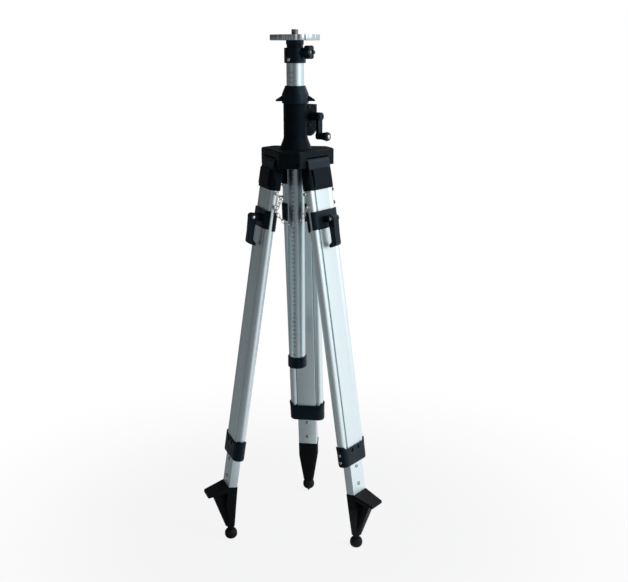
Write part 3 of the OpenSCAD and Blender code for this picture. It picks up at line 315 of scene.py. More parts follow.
BLACK_CAST = moulded("black_cast", (0.0030, 0.0044, 0.0062), 0.40, (0.020, 0.027, 0.038))
BLACK_PLASTIC = moulded("black_plastic", (0.0026, 0.0038, 0.0054), 0.45, (0.018, 0.025, 0.035),
                        grain=1700)
# A lighter, glossier black for the outer shoulders of the leg heads. It is partly the pad's own grey and
# partly a painted highlight, where the shoulder tilts up into the light.
PAD_BLACK_WITH_HIGHLIGHT = moulded("pad_black_with_painted_highlight", (0.0085, 0.0115, 0.0165), 0.50, (0.026, 0.034, 0.046))
BLACK_SLEEVE = moulded("black_sleeve", (0.0042, 0.0062, 0.0080), 0.52, (0.018, 0.025, 0.034),
                       specular=0.12, edge_wear=0.05)
BLACK_SHOE = moulded("black_shoe", (0.0034, 0.0042, 0.0046), 0.50, (0.018, 0.021, 0.024),
                     grain=1700, specular=0.14, painted_highlight_tint=(0.8, 0.9, 1.0))
LEG_ALLOY = extruded("leg_alloy", (0.81, 0.92, 0.955), 0.38)
COLUMN_ALLOY = extruded("column_alloy", (0.68, 0.79, 0.84), 0.34, lines=1900)
PLATE_ALLOY = turned("plate_alloy", (0.57, 0.63, 0.67), 0.28)
STEEL = plated("zinc_steel", (0.60, 0.61, 0.61), 0.32, (0.42, 0.43, 0.43))
GREY_ZINC = plated("grey_zinc", (0.38, 0.39, 0.405), 0.16, (0.28, 0.29, 0.30))
BRIGHT = plated("bright_rivet", (0.78, 0.79, 0.79), 0.26, (0.6, 0.61, 0.61))
BRASS = plated("dull_brass", (0.42, 0.40, 0.33), 0.40, (0.28, 0.27, 0.23))
DARK_STEEL = plated("dark_steel", (0.05, 0.053, 0.06), 0.42, (0.03, 0.032, 0.036))
RUBBER = rubbery("black_rubber", (0.0055, 0.006, 0.007))
INK = printed("scale_ink", (0.15, 0.155, 0.16))
INNER_STEEL = plated("inner_steel", (0.55, 0.56, 0.56), 0.34, (0.40, 0.41, 0.41))
INNER_PLASTIC = moulded("inner_plastic", (0.0042, 0.0054, 0.0072), 0.45, (0.026, 0.031, 0.040))


# Meshes
def grid(bm, rings, closed=True, loop=False, caps=(False, False)):
    """Joins rings of points into faces. A loop joins the last ring to the first, a cap closes an end."""
    rows = [[bm.verts.new(p) for p in ring] for ring in rings]
    pairs = list(zip(rows, rows[1:])) + ([(rows[-1], rows[0])] if loop else [])
    count = len(rows[0])
    for a, b in pairs:
        for i in range(count if closed else count - 1):
            j = (i + 1) % count
            bm.faces.new((a[i], a[j], b[j], b[i]))
    if caps[0]:
        bm.faces.new(list(reversed(rows[0])))
    if caps[1]:
        bm.faces.new(rows[-1])


def circle(radius, z, at=CENTRE, steps=48):
    """A ring of points round the Z axis of a frame. The radius may depend on the angle."""
    found = []
    for i in range(steps):
        angle = TAU * i / steps
        r = radius(angle) if callable(radius) else radius
        found.append(at @ Vector((r * math.cos(angle), r * math.sin(angle), z)))
    return found


def lathe(bm, profile, at=CENTRE, steps=48, loop=False, caps=(False, False)):
    grid(bm, [circle(r, z, at, steps) for r, z in profile], loop=loop, caps=caps)


def hexagon(across):
    """Radius of a hexagon at an angle, from its width over the flats."""
    return lambda angle: across / 2 / math.cos((angle + math.pi / 6) % (math.pi / 3) - math.pi / 6)


def dome(bm, at, d, h, steps=32):
    """Round rivet head standing on its frame's base."""
    r = d / 2
    profile = [(r, 0), (r, 0.3 * h), (0.93 * r, 0.6 * h), (0.74 * r, 0.85 * h), (0.4 * r, 0.98 * h),
               (0.05 * r, h)]
    lathe(bm, profile, at, steps, caps=(True, True))


def socket_head(bm, at, d, h, across, depth, steps=48):
    """Round screw head with a six-sided socket."""
    r, key = d / 2, hexagon(across)
    soft, lip = 0.14 * h, 0.2
    profile = [(r - soft, 0), (r, soft), (r, h - 2 * soft), (r - 0.6 * soft, h - 0.6 * soft),
               (r - 2 * soft, h), (lambda angle: key(angle) + lip, h), (key, h - lip), (key, h - depth)]
    lathe(bm, profile, at, steps, caps=(True, True))


def nut(bm, at, across, h, bore, steps=48):
    """Six-sided nut with bevelled corners, closed by the end of its bolt."""
    corner = hexagon(across)
    flat = across / 2
    bevelled = lambda angle: min(corner(angle), flat + 0.15)
    lathe(bm, [(corner, 0), (corner, h - 0.9), (bevelled, h), (bore + 0.5, h), (bore, h - 0.4),
               (bore, h + 0.6), (bore - 0.5, h + 1.0)], at, steps, caps=(True, True))


def rod(bm, at, d, start, end, steps=32, bevel=0.4):
    """Round bar with bevelled ends, from start to end along its frame's Z."""
    r = d / 2
    profile = [(r - bevel, start), (r, start + bevel), (r, end - bevel), (r - bevel, end)]
    lathe(bm, profile, at, steps, caps=(True, True))


def tube(bm, path, radius, steps=8):
    """Round wire along a closed path of points."""
    rings = []
    turns = [TAU * k / steps for k in range(steps)]
    for i, point in enumerate(path):
        along = (path[(i + 1) % len(path)] - path[i - 1]).normalized()
        side = (side - along * side.dot(along)).normalized() if rings else along.orthogonal().normalized()
        up = along.cross(side)
        rings.append([point + (side * math.cos(a) + up * math.sin(a)) * radius for a in turns])
    grid(bm, rings, loop=True)


def stadium_point(angle, w, t):
    """Where a ray from the middle meets a flat with round ends: thickness on X, width on Y."""
    cx, cy = math.cos(angle), math.sin(angle)
    a = (w - t) / 2
    r = t / 2 / abs(cx) if abs(cx) > 1e-6 else 1e9
    if abs(r * cy) > a:
        r = a * abs(cy) + math.sqrt(max(0.0, (t / 2) ** 2 - (a * cx) ** 2))
    return r * cx, r * cy


def box_point(angle, w, t):
    """Where a ray from the middle meets a box: thickness on X, width on Y."""
    cx, cy = math.cos(angle), math.sin(angle)
    r = min(t / 2 / max(abs(cx), 1e-9), w / 2 / max(abs(cy), 1e-9))
    return r * cx, r * cy


def carve(bm, cutter):
    """The mesh with another mesh cut out of it."""
    made = []
    for mesh in (bm, cutter):
        bmesh.ops.recalc_face_normals(mesh, faces=mesh.faces)
        data = bpy.data.meshes.new("carving")
        mesh.to_mesh(data)
        mesh.free()
        made.append(bpy.data.objects.new("carving", data))
        bpy.context.scene.collection.objects.link(made[-1])
    cut = made[0].modifiers.new("Cut", "BOOLEAN")
    cut.object, cut.operation, cut.solver = made[1], "DIFFERENCE", "EXACT"
    carved = bmesh.new()
    carved.from_object(made[0], bpy.context.evaluated_depsgraph_get())
    for item in made:
        data = item.data
        bpy.data.objects.remove(item)
        bpy.data.meshes.remove(data)
    return carved


# Pieces
def make_piece(name, bm, look, slot, at=CENTRE, bevel=0.0, smooth=35, segments=2):
    """Makes an object of a mesh in millimetres that is drawn in its own frame."""
    bmesh.ops.remove_doubles(bm, verts=bm.verts, dist=0.0005)
    bmesh.ops.recalc_face_normals(bm, faces=bm.faces)
    bmesh.ops.scale(bm, vec=(MM, MM, MM), verts=bm.verts)
    mesh = bpy.data.meshes.new(name)
    bm.to_mesh(mesh)
    bm.free()
    own = mesh.attributes.new("own_frame", "FLOAT_VECTOR", "POINT")
    own.data.foreach_set("vector", [c for v in mesh.vertices for c in v.co])
    mesh.transform(to_metres(at))
    mesh.shade_smooth()
    mesh.set_sharp_from_angle(angle=math.radians(smooth))
    mesh.materials.append(look)
    made = bpy.data.objects.new(name, mesh)
    bpy.context.scene.collection.objects.link(made)
    if bevel:
        cut = made.modifiers.new("Edges", "BEVEL")
        cut.width = bevel * MM
        cut.segments = segments
        cut.limit_method = "WEIGHT"
        cut.use_clamp_overlap = True
        even = made.modifiers.new("Shading", "WEIGHTED_NORMAL")
        even.keep_sharp = True
    return made


def mark_edges(bm, rim, corner=None, plain=1.0, least_area=3.0, least_angle=38):
    """Sets each sharp edge's share of the bevel: little on small holes, and most on chosen corners."""
    marks = bm.edges.layers.float.new("bevel_weight_edge")
    for edge in bm.edges:
        if len(edge.link_faces) != 2 or edge.calc_face_angle() < math.radians(least_angle):
            continue
        if min(face.calc_area() for face in edge.link_faces) < least_area:
            edge[marks] = rim
        else:
            edge[marks] = 1.0 if corner and corner(edge) else plain


def finish_piece(name, bm, look, body, nodes, slot, **form):
    """Makes a piece, lets it ride on a body and stand for its CAD nodes."""
    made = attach(make_piece(name, bm, look, slot, **form), body)
    if nodes:
        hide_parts(*nodes)
    return made


def body_of(node):
    return frame["nodes"][node]["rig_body"]


def dress(node, look, slot, at=CENTRE, bevel=0.8, segments=2, smooth=35, **edges):
    """A copy of a CAD form with whole faces and rounded edges, in its own frame."""
    bm = bmesh.new()
    bm.from_mesh(frame["nodes"][node].data)
    bmesh.ops.transform(bm, matrix=at.inverted() @ Matrix.Scale(1 / MM, 4), verts=bm.verts)
    bmesh.ops.remove_doubles(bm, verts=bm.verts, dist=0.004)
    bmesh.ops.dissolve_degenerate(bm, dist=0.01, edges=bm.edges)
    bmesh.ops.dissolve_limit(bm, angle_limit=math.radians(0.6), verts=bm.verts, edges=bm.edges)
    if bevel:
        mark_edges(bm, min(1.0, RIM_BEVEL / bevel), **edges)
    return finish_piece(node + "_form", bm, look, body_of(node), [node], slot, at=at, bevel=bevel,
                        smooth=smooth, segments=segments)


def paint(node, look):
    """A CAD node that is shown as it is, with a procedural finish."""
    data = frame["nodes"][node].data
    data.materials.clear()
    data.materials.append(look)


def shell_corner(edge, thin=3.0, thick=4.2, free_end=36.0, flat=0.1):
    """Whether an edge runs through the wall of a clamp shell, at a corner of its free ends."""
    middle = (edge.verts[0].co + edge.verts[1].co) / 2
    level = abs(edge.verts[0].co.z - edge.verts[1].co.z) < flat
    return level and thin < edge.calc_length() < thick and abs(middle.y) > free_end


def head_shoulder(place, out=4.0, low=-20.0):
    """Whether a place on a leg head lies on its outer shoulder."""
    return place.x > out and place.z > low


def paint_part(piece, look, at, inside):
    """Gives another finish to the faces whose middle lies in a part of the piece's own frame."""
    piece.data.materials.append(look)
    back = to_metres(at).inverted()
    for face in piece.data.polygons:
        if inside(back @ face.center / MM):
            face.material_index = 1


# Centre: crown, housing, drive and lock ring
dress("crown", BLACK_SLEEVE, "black_cast", bevel=1.6, segments=3)
dress("elevator_housing", BLACK_SLEEVE, "black_cast", bevel=0.8)
dress("gear_cover", BLACK_SLEEVE, "black_cast", bevel=0.7)
dress("lock_ring", BLACK_PLASTIC, "black_plastic", bevel=1.0, segments=3)
dress("crank_arm", BLACK_PLASTIC, "black_plastic", SHAFT, bevel=1.0, segments=3)
dress("end_cap", BLACK_PLASTIC, "black_plastic", bevel=0.8)
dress("head_collar", BLACK_CAST, "black_cast", bevel=0.7)
dress("head_neck", BLACK_CAST, "black_cast", bevel=0.5)
for inner in ("hinge_pins", "drive_pinion", "rack", "knob_screw"):
    paint(inner, INNER_STEEL)
for inner in ("lower_bush", "collet", "column_plug"):
    paint(inner, INNER_PLASTIC)


def housing_screws():
    """Four screws in the gear cover, and three from below in the sleeve's base."""
    cover_reaches, cover_rises, cover_face = (19.08, 38.5), (20.5, -19.35), -24.0
    base_azimuth, base_out, base_z = 94, 27.4, 892.0
    bm = bmesh.new()
    for reach in cover_reaches:
        for rise in cover_rises:
            at = GEAR_BOX @ move(reach, cover_face, rise) @ turn(90, "X")
            socket_head(bm, at, d=6.0, h=1.5, across=2.5, depth=1.0)
            rod(bm, at, d=3.0, start=-13.7, end=0)
    for screw in range(3):
        at = turn(base_azimuth + 120 * screw, "Z") @ move(base_out, 0, base_z) @ turn(180, "X")
        socket_head(bm, at, d=8.5, h=5.0, across=4.0, depth=2.5)
        rod(bm, at, d=5.0, start=-47.5, end=0)
    finish_piece("housing_screws_heads", bm, DARK_STEEL, "stand", ["housing_screws"], "steel")


def crank():
    """Grip with long flutes, the steel head of its bolt and the dark head of the hub screw."""
    flutes, taper, length, bore, steps = 10, 19.2, 24.0, 3.08, 120
    hub_face, grip_start, bolt_face = -52.5, -50.8, -75.1
    at = move(0, grip_start, -CRANK_REACH) @ turn(90, "X")

    def shaped(r, depth):
        return lambda angle: r - depth * (0.5 - 0.5 * math.cos(flutes * angle)) ** 2

    bm = bmesh.new()
    profile = [(bore, 0), (6.2, 0), (6.8, 0.3), (7.0, 1.0)]
    for i in range(9):
        share = i / 8
        depth = 0.75 * math.sin(math.pi * (0.12 + 0.8 * share))
        profile.append((shaped(7.2 + 2.7 * share, depth), 1.6 + (taper - 2.0) * share))
    profile += [(10.0, taper), (9.9, taper + 1.0), (9.3, taper + 3.0), (8.5, length - 0.6), (7.8, length),
                (bore, length)]
    grid(bm, [circle(r, z, at, steps) for r, z in profile], loop=True)
    finish_piece("crank_grip_form", bm, BLACK_PLASTIC, "grip", ["crank_grip"], "black_plastic", at=SHAFT)
    bm = bmesh.new()
    hub = move(0, hub_face, 0) @ turn(90, "X")
    socket_head(bm, hub, d=11.0, h=2.5, across=5.0, depth=1.6)
    rod(bm, hub, d=5.0, start=-8.2, end=0)
    finish_piece("crank_hub_screw", bm, DARK_STEEL, "crank", ["crank_fasteners"], "bright_rivet", at=SHAFT)
    bm = bmesh.new()
    bolt = move(0, bolt_face, -CRANK_REACH) @ turn(90, "X")
    dome(bm, bolt, d=9.5, h=2.6)
    rod(bm, bolt, d=6.0, start=-32.6, end=0)
    finish_piece("crank_grip_bolt", bm, STEEL, "crank", ["crank_fasteners"], "bright_rivet", at=SHAFT)


# Column and head
def column_scale():
    """Printed marks every 5 mm, longer at the tens, with a figure at each centimetre."""
    low, high, pitch, radius = 446, 1098, 5, 19.0 + 0.03
    long_half, short_half, line_half = 6, 3.5, 0.3
    marks_from, figures_from, figure_pitch, figure_room = SCALE_AZIMUTH - 14, SCALE_AZIMUTH + 4, 11, 4
    wide, tall, pen, bar_over, post_half = 7.0, 4.2, 0.55, 0.8, 0.85
    strokes = {"0": "abcdef", "1": "bc", "2": "abged", "3": "abgcd", "4": "fgbc", "5": "afgcd",
               "6": "afgecd", "7": "abc", "8": "abcdefg", "9": "abcdfg"}
    bars = {"a": tall / 2, "g": 0, "d": -tall / 2}
    posts = {"f": (-1, 1), "b": (1, 1), "e": (-1, -1), "c": (1, -1)}
    bm = bmesh.new()

    def patch(angle, half, z0, z1):
        """A strip of ink on the tube, round a plan angle in degrees and between two heights."""
        steps = max(2, int(half / 2))
        plan = [math.radians(angle - half + 2 * half * k / steps) for k in range(steps + 1)]
        rows = [[Vector((radius * math.cos(a), radius * math.sin(a), z)) for a in plan] for z in (z0, z1)]
        grid(bm, rows, closed=False)

    def figure(mark, angle, z):
        """One figure in plain strokes, its middle at a plan angle and a height."""
        for stroke in strokes[mark]:
            if stroke in bars:
                middle = z + bars[stroke]
                patch(angle, wide / 2 + bar_over, middle - pen / 2, middle + pen / 2)
            else:
                side, half = posts[stroke]
                ends = sorted((z, z + half * tall / 2))
                patch(angle + side * wide / 2, post_half, ends[0] - pen / 2, ends[1] + pen / 2)

    for step in range(int((high - low) / pitch) + 1):
        z = low + pitch * step
        half = long_half if step % 2 == 0 else short_half
        patch(marks_from + half, half, z - line_half, z + line_half)
        if step % 2 == 0 and z + figure_room < high:
            for place, mark in enumerate(str(step // 2).rjust(2, "0")):
                figure(mark, figures_from + figure_pitch * place, z)
    made = finish_piece("column_scale_marks", bm, INK, "column", [], "column_alloy", smooth=60)
    thick = made.modifiers.new("Ink", "SOLIDIFY")
    thick.thickness = 0.02 * MM
    thick.offset = 0


def head_plate():
    """Plate with a fluted rim, turned rings and a shallow recess round the stud."""
    low, top, outer, bore, recess, steps = 1153.6, 1165.6, 54.0, 7.05, 0.4, 432
    flutes, flute_half = 24, 4.15
    ring_radii, ring_depth = (49.5, 38.0, 24.0), 0.3

    def rim(r, depth):
        """Radius at an angle, with the flutes cut to a depth."""
        def at_angle(angle):
            off = (angle * flutes / TAU + 0.5) % 1 - 0.5
            arc = abs(off) * TAU * outer / flutes
            return r - (depth * (1 - (arc / flute_half) ** 2) if arc < flute_half else 0)
        return at_angle

    edge = [(rim(53.0, 0.5), 0.0), (rim(53.8, 0.85), 0.4), (rim(outer, 0.9), 1.2)]
    bm = bmesh.new()
    profile = [(bore, low), (18, low), (46, low)] + [(r, low + inset) for r, inset in edge]
    profile += [(r, top - inset) for r, inset in reversed(edge)]
    for r in ring_radii:
        profile += [(r + 0.5, top), (r + 0.15, top - ring_depth), (r - 0.15, top - ring_depth),
                    (r - 0.5, top)]
    profile += [(12.0, top), (11.6, top - recess), (bore, top - recess)]
    grid(bm, [circle(r, z, CENTRE, steps) for r, z in profile], loop=True)
    finish_piece("head_plate_form", bm, PLATE_ALLOY, "head", ["head_plate"], "plate_alloy", smooth=28)


def instrument_stud():
    """Stud with a 5/8 inch thread of 11 turns to the inch, and a bevelled end."""
    foot, low, top, shank, major = 1139.9, 1165.2, 1176.6, 7.0, 7.9375
    pitch, depth, bevel, steps, rows = 25.4 / 11, 1.25, 1.5, 64, 72
    bm = bmesh.new()
    rings = [circle(shank, foot, CENTRE, steps), circle(shank, low, CENTRE, steps)]
    for row in range(rows + 1):
        z = low + (top - low) * row / rows
        most = min(major, major - bevel + (top - z))

        def radius(angle):
            phase = (z / pitch - angle / TAU) % 1
            return min(most, major - depth * min(1.0, max(0.0, 2.6 * abs(phase - 0.5) - 0.15)))

        rings.append(circle(radius, z, CENTRE, steps))
    rings += [circle(3.0, top, CENTRE, steps), circle(1.2, top - 0.9, CENTRE, steps)]
    grid(bm, rings, caps=(True, True))
    finish_piece("instrument_stud_form", bm, BRASS, "head", ["instrument_stud"], "stud_brass", smooth=50)


def star_knob():
    """Six soft lobes, a recess at the outer end and a short hub."""
    start, length, outer, deep, bore, recess, steps = 28.0, 16.0, 15.5, 4.0, 4.05, 3.0, 144

    def lobes(inset):
        return lambda angle: outer - inset - deep * ((1 - math.cos(6 * angle)) / 2) ** 1.35

    bm = bmesh.new()
    rings = [(bore, 0.0), (6.0, 0.0), (7.2, 0.0), (8.2, 0.9)]
    rings += [(lobes(2.2), 1.4), (lobes(0.9), 1.9), (lobes(0.2), 2.9), (lobes(0.0), 4.4)]
    rings += [(lobes(0.0), 12.2), (lobes(0.35), 13.9), (lobes(1.3), 15.2), (lobes(2.8), 15.9)]
    rings += [(lobes(4.0), length), (5.6, length), (5.0, 15.6), (5.0, length - recess),
              (bore, length - recess)]
    at = ALONG_X @ turn(90, "Z")
    grid(bm, [circle(r, start + z, at, steps) for r, z in rings], loop=True)
    finish_piece("star_knob_form", bm, BLACK_PLASTIC, "knob", ["star_knob"], "black_plastic", at=KNOB,
                 smooth=40)


def collar_rivet():
    azimuth, z, face = -118, 1113.3, 23.3
    bm = bmesh.new()
    at = turn(azimuth, "Z") @ move(0, 0, z) @ ALONG_X
    dome(bm, at @ move(0, 0, face), d=7.6, h=1.6)
    rod(bm, at, d=6.0, start=15.0, end=face)
    finish_piece("collar_rivet_head", bm, BRIGHT, "column", ["collar_rivet"], "bright_rivet")


# Legs
def prism(bm, outline, low, high, hollow=None):
    """Straight piece of one section along Z, solid or with a hollow of as many points."""
    def ring(points, z):
        return [Vector((x, y, z)) for x, y in points]

    if hollow:
        grid(bm, [ring(hollow, low), ring(outline, low), ring(outline, high), ring(hollow, high)],
             loop=True)
    else:
        grid(bm, [ring(outline, low), ring(outline, high)], caps=(True, True))


def soft_box(t, w, r, steps=5):
    """Outline of a box section with round corners: thickness on X, width on Y."""
    found = []
    for quarter, (sx, sy) in enumerate(((1, 1), (-1, 1), (-1, -1), (1, -1))):
        for k in range(steps + 1):
            angle = math.pi / 2 * (quarter + k / steps)
            found.append((sx * (t / 2 - r) + r * math.cos(angle), sy * (w / 2 - r) + r * math.sin(angle)))
    return found


def leg_rails(leg):
    """Two rails with round outer edges, a groove for the bar's tongue and a face that falls to the bar."""
    name = LEGS[leg]
    low, high, fall, steps = up_leg(COLLAR_FOOT + COLLAR_FLOOR + 0.3), -41.0, 2.4, 24
    inner, middle, outer_r = 24.52, 31.0, 11.0
    groove_half, groove_deep = 4.3, 29.06
    edge = outer_r - fall
    half = [(groove_half, groove_deep), (groove_half, inner), (edge - 0.9, inner),
            (edge - 0.25, inner + 0.25), (edge + 0.1, inner + 0.9)]
    for k in range(steps + 1):
        angle = math.pi / 2 * k / steps
        half.append((outer_r * math.cos(angle), middle + outer_r * math.sin(angle)))
    outline = half + [(-x, y) for x, y in reversed(half[:-1])]
    bm = bmesh.new()
    for side in (1, -1):
        prism(bm, [(x, side * y) for x, y in outline], low, high)
    finish_piece(name + "_leg_rails_form", bm, LEG_ALLOY, name + "_leg", [name + "_leg_rails"], "leg_alloy",
                 at=leg_frame(leg), smooth=30)


def slide_bar(leg):
    """Hollow bar with round corners, and the tongues at its upper end."""
    name = LEGS[leg]
    low, high = up_leg(SHOE_TOP), -58.6
    tongue_low = up_leg(COLLAR_FOOT + COLLAR_FLOOR + SLIDE_TRAVEL + SLIDE_GAP)
    w, t, wall, corner = 47.04, 21.0, 2.0, 1.5
    tongue_out, tongue_w, tongue_t, inner_corner = 25.2, 5.73, 8.0, 0.5
    bm = bmesh.new()
    prism(bm, soft_box(t, w, corner), low, high, soft_box(t - 2 * wall, w - 2 * wall, inner_corner))
    for side in (1, -1):
        section = soft_box(tongue_t, tongue_w, inner_corner, 2)
        prism(bm, [(x, side * tongue_out + y) for x, y in section], tongue_low, high)
    finish_piece(name + "_slide_bar_form", bm, LEG_ALLOY, name + "_slide", [name + "_slide_bar"],
                 "leg_alloy", at=leg_frame(leg), smooth=50)


def guide_collar(leg):
    """Collar with a rounded lower edge, two blind recesses and ears round the rails' round edges."""
    at = leg_frame(leg)
    w, t, h, low = 87.6, 28.4, COLLAR_H, up_leg(COLLAR_FOOT)
    bore_w, bore_t, slot_w, slot_t = 84.1, 22.1, 47.64, 21.6
    ear_start, ear_blend, ear_reach, lift, lean = 31.5, 6.0, 44, 7.0, 1.8
    recesses, recess_drop, recess_floor = ((-13.0, 9.6), (10.5, 8.4)), 6.5, 12.0
    steps, corner = 132, math.atan2(slot_w, slot_t)
    corners = {corner, math.pi - corner, math.pi + corner, TAU - corner}
    angles = sorted({TAU * k / steps for k in range(steps)} | corners)

    def ring(wide, thick, z, up, out):
        """A round-ended ring whose ears rise and lean out."""
        found = []
        for angle in angles:
            x, y = stadium_point(angle, wide, thick)
            ear = min(1.0, max(0.0, (abs(y) - ear_start) / ear_blend))
            ear = ear * ear * (3 - 2 * ear)
            found.append(Vector((x, y * (1 + out * ear / ear_reach), low + z + up * ear)))
        return found

    def outer(inset, z, up=0.0, out=0.0):
        return ring(w - 2 * inset, t - 2 * inset, z, up, out)

    def inner(z, up=0.0, grow=0.0, out=0.0):
        return ring(bore_w + 2 * grow, bore_t + 2 * grow, z, up, out)

    def hole(z, grow=0.0):
        section = (box_point(angle, slot_w + 2 * grow, slot_t + 2 * grow) for angle in angles)
        return [Vector((*point, low + z)) for point in section]

    bm = bmesh.new()
    grid(bm, [
        hole(COLLAR_FLOOR), hole(0.5), hole(0.0, 0.5),
        outer(3.6, 0.0), outer(2.0, 0.4), outer(0.9, 1.3), outer(0.25, 2.8), outer(0.0, 4.6),
        outer(0.0, h - 8, 0.15 * lift, 0.2 * lean), outer(0.0, h - 1.2, lift, lean),
        outer(0.5, h - 0.25, lift, lean), outer(1.0, h, lift, lean),
        inner(h, lift, 0.5, lean), inner(h - 0.5, lift, 0.0, lean * 0.6), inner(h - 8, 0.15 * lift),
        inner(COLLAR_FLOOR),
    ], loop=True)
    cutter = bmesh.new()
    for across, d in recesses:
        place = move(0, across, low + h - recess_drop) @ ALONG_X
        rod(cutter, place, d, start=recess_floor, end=16.0, bevel=0.1)
    bm = carve(bm, cutter)
    leg_name = LEGS[leg]
    finish_piece(leg_name + "_guide_collar_form", bm, BLACK_PLASTIC, leg_name + "_leg",
                 [leg_name + "_guide_collar"], "black_plastic", at=at, smooth=42)


def leg_fasteners(leg):
    """Bolts that carry the chains, and rivets in the guide collar."""
    at = leg_frame(leg)
    bm = bmesh.new()
    for side in (1, -1):
        out = turn(-90 * side, "X")
        for drop in CHAIN_BOLT_DROPS:
            place = move(0, 0, -drop) @ out
            rod(bm, place, d=5.0, start=37.0, end=LEG_HALF_W)
            rod(bm, place, d=2.6, start=41.8, end=50.3, bevel=0.1)
            rod(bm, place, d=7.6, start=LEG_HALF_W, end=42.7, bevel=0.2)
            dome(bm, place @ move(0, 0, LEG_HALF_W + CHAIN_BOLT_GAP), d=8.0, h=2.4)
    for share in (0.3, 0.7):
        place = move(0, 0, up_leg(COLLAR_FOOT + share * COLLAR_H)) @ turn(90, "X")
        rod(bm, place, d=4.0, start=37.0, end=43.8)
        dome(bm, place @ move(0, 0, 43.75), d=6.5, h=1.45)
    name = LEGS[leg]
    finish_piece(name + "_leg_fasteners_heads", bm, STEEL, name + "_leg", [name + "_leg_fasteners"],
                 "bright_rivet", at=at)


def slide_fasteners(leg):
    """Clamp bolt with its nut and the rivets of the foot in grey zinc, and the lever's bright pin."""
    at = leg_frame(leg)
    name = LEGS[leg]
    nodes = [name + "_slide_fasteners"]
    bolt_face, nut_face, rivet_face, rivet_rises, pin_half = 14.8, 17.3, 10.45, (21.6, 63.36), 12.3
    bm = bmesh.new()
    bolt = move(0, 0, CLAMP_Z) @ ALONG_X
    rod(bm, bolt, d=6.0, start=-22.3, end=bolt_face)
    socket_head(bm, bolt @ move(0, 0, bolt_face), d=11.0, h=2.5, across=5.0, depth=1.6)
    inward = move(0, 0, CLAMP_Z) @ turn(-90, "Y") @ turn(30, "Z")
    nut(bm, inward @ move(0, 0, nut_face), across=9.96, h=4.6, bore=3.0)
    for rise in rivet_rises:
        rivet = move(0, 0, up_leg(SHOE_TOP + rise)) @ ALONG_X
        rod(bm, rivet, d=4.0, start=-10.5, end=10.5)
        dome(bm, rivet @ move(0, 0, rivet_face), d=9.0, h=1.85)
        dome(bm, rivet @ turn(180, "X") @ move(0, 0, rivet_face), d=9.0, h=1.85)
    finish_piece(name + "_clamp_bolt_and_rivets", bm, GREY_ZINC, name + "_slide", nodes, "steel", at=at)
    bm = bmesh.new()
    for side in (1, -1):
        pin = move(LEVER_OUT, 0, CLAMP_Z) @ turn(-90 * side, "X")
        rod(bm, pin, d=6.0, start=0.0, end=12.4)
        dome(bm, pin @ move(0, 0, pin_half), d=7.4, h=1.3)
    finish_piece(name + "_lever_pin", bm, BRIGHT, name + "_slide", nodes, "steel", at=at)


def rubber_tip(leg):
    """Round rubber foot with two shallow grooves, screwed up on the back leg."""
    lift = 9.0 if leg == 0 else 0.0
    height, outer, bore, steps = 22.0, 15.0, 7.3, 64
    rows, grooved, groove_depth = 12, (5, 7), 0.7
    profile = [(bore, 0.0), (9.0, 0.0), (10.0, 0.25)]
    for k in range(1, rows):
        z = height * k / rows
        r = math.sqrt(outer ** 2 - (z - height / 2) ** 2)
        profile.append((r - (groove_depth if k in grooved else 0.0), z))
    profile += [(10.0, height - 0.25), (9.0, height), (8.1, height), (8.08, 4.0), (bore, 4.0)]
    bm = bmesh.new()
    lathe(bm, [(r, z + lift) for r, z in profile], CENTRE, steps, loop=True)
    name = LEGS[leg]
    finish_piece(name + "_rubber_tip_form", bm, RUBBER, name + "_tip", [name + "_rubber_tip"], "rubber",
                 at=foot_frame(leg), smooth=50)


# Chains
CHAIN_BEND, CHAIN_LINKS = 22.0, 13
LINK_GAP, LINK_PLAY, LINK_WIRE = 4.6, 0.9, 1.6
EYE_R = HINGE_R + CHAIN_BOLT_DROPS[1] * math.sin(LEAN)
EYE_Z = HINGE_Z - CHAIN_BOLT_DROPS[1] * math.cos(LEAN)
EYE_U = LEG_HALF_W + CHAIN_BOLT_GAP / 2
CHAIN_HOOK = (LINK_GAP - LINK_PLAY) / 2
HOOK_ACROSS_SHARE, HOOK_UP_SHARE = 0.35, 0.94
CHAIN_R = EYE_R * 0.5 + EYE_U * math.sin(math.radians(60))
HALF_SPAN = EYE_R * math.sin(math.radians(60)) - EYE_U * 0.5 + CHAIN_HOOK * HOOK_ACROSS_SHARE
HALF_L = CHAIN_BEND * math.sinh(HALF_SPAN / CHAIN_BEND)
LINK_PITCH = 2 * HALF_L / CHAIN_LINKS


def chain_point(s):
    """Place on a hanging chain, across and up from its ends, at a length from its middle."""
    across = CHAIN_BEND * math.asinh(s / CHAIN_BEND)
    return across, math.hypot(CHAIN_BEND, s) - math.hypot(CHAIN_BEND, HALF_L)


def link_path(gap, length, wire, steps=8):
    """Middle line of a round-wire link lying along X, in the XY plane."""
    half, r = (length - gap) / 2, (gap + wire) / 2
    arc = [math.pi * k / steps - math.pi / 2 for k in range(steps + 1)]
    return ([Vector((half + r * math.cos(a), r * math.sin(a), 0)) for a in arc]
            + [Vector((-half - r * math.cos(a), -r * math.sin(a), 0)) for a in arc])


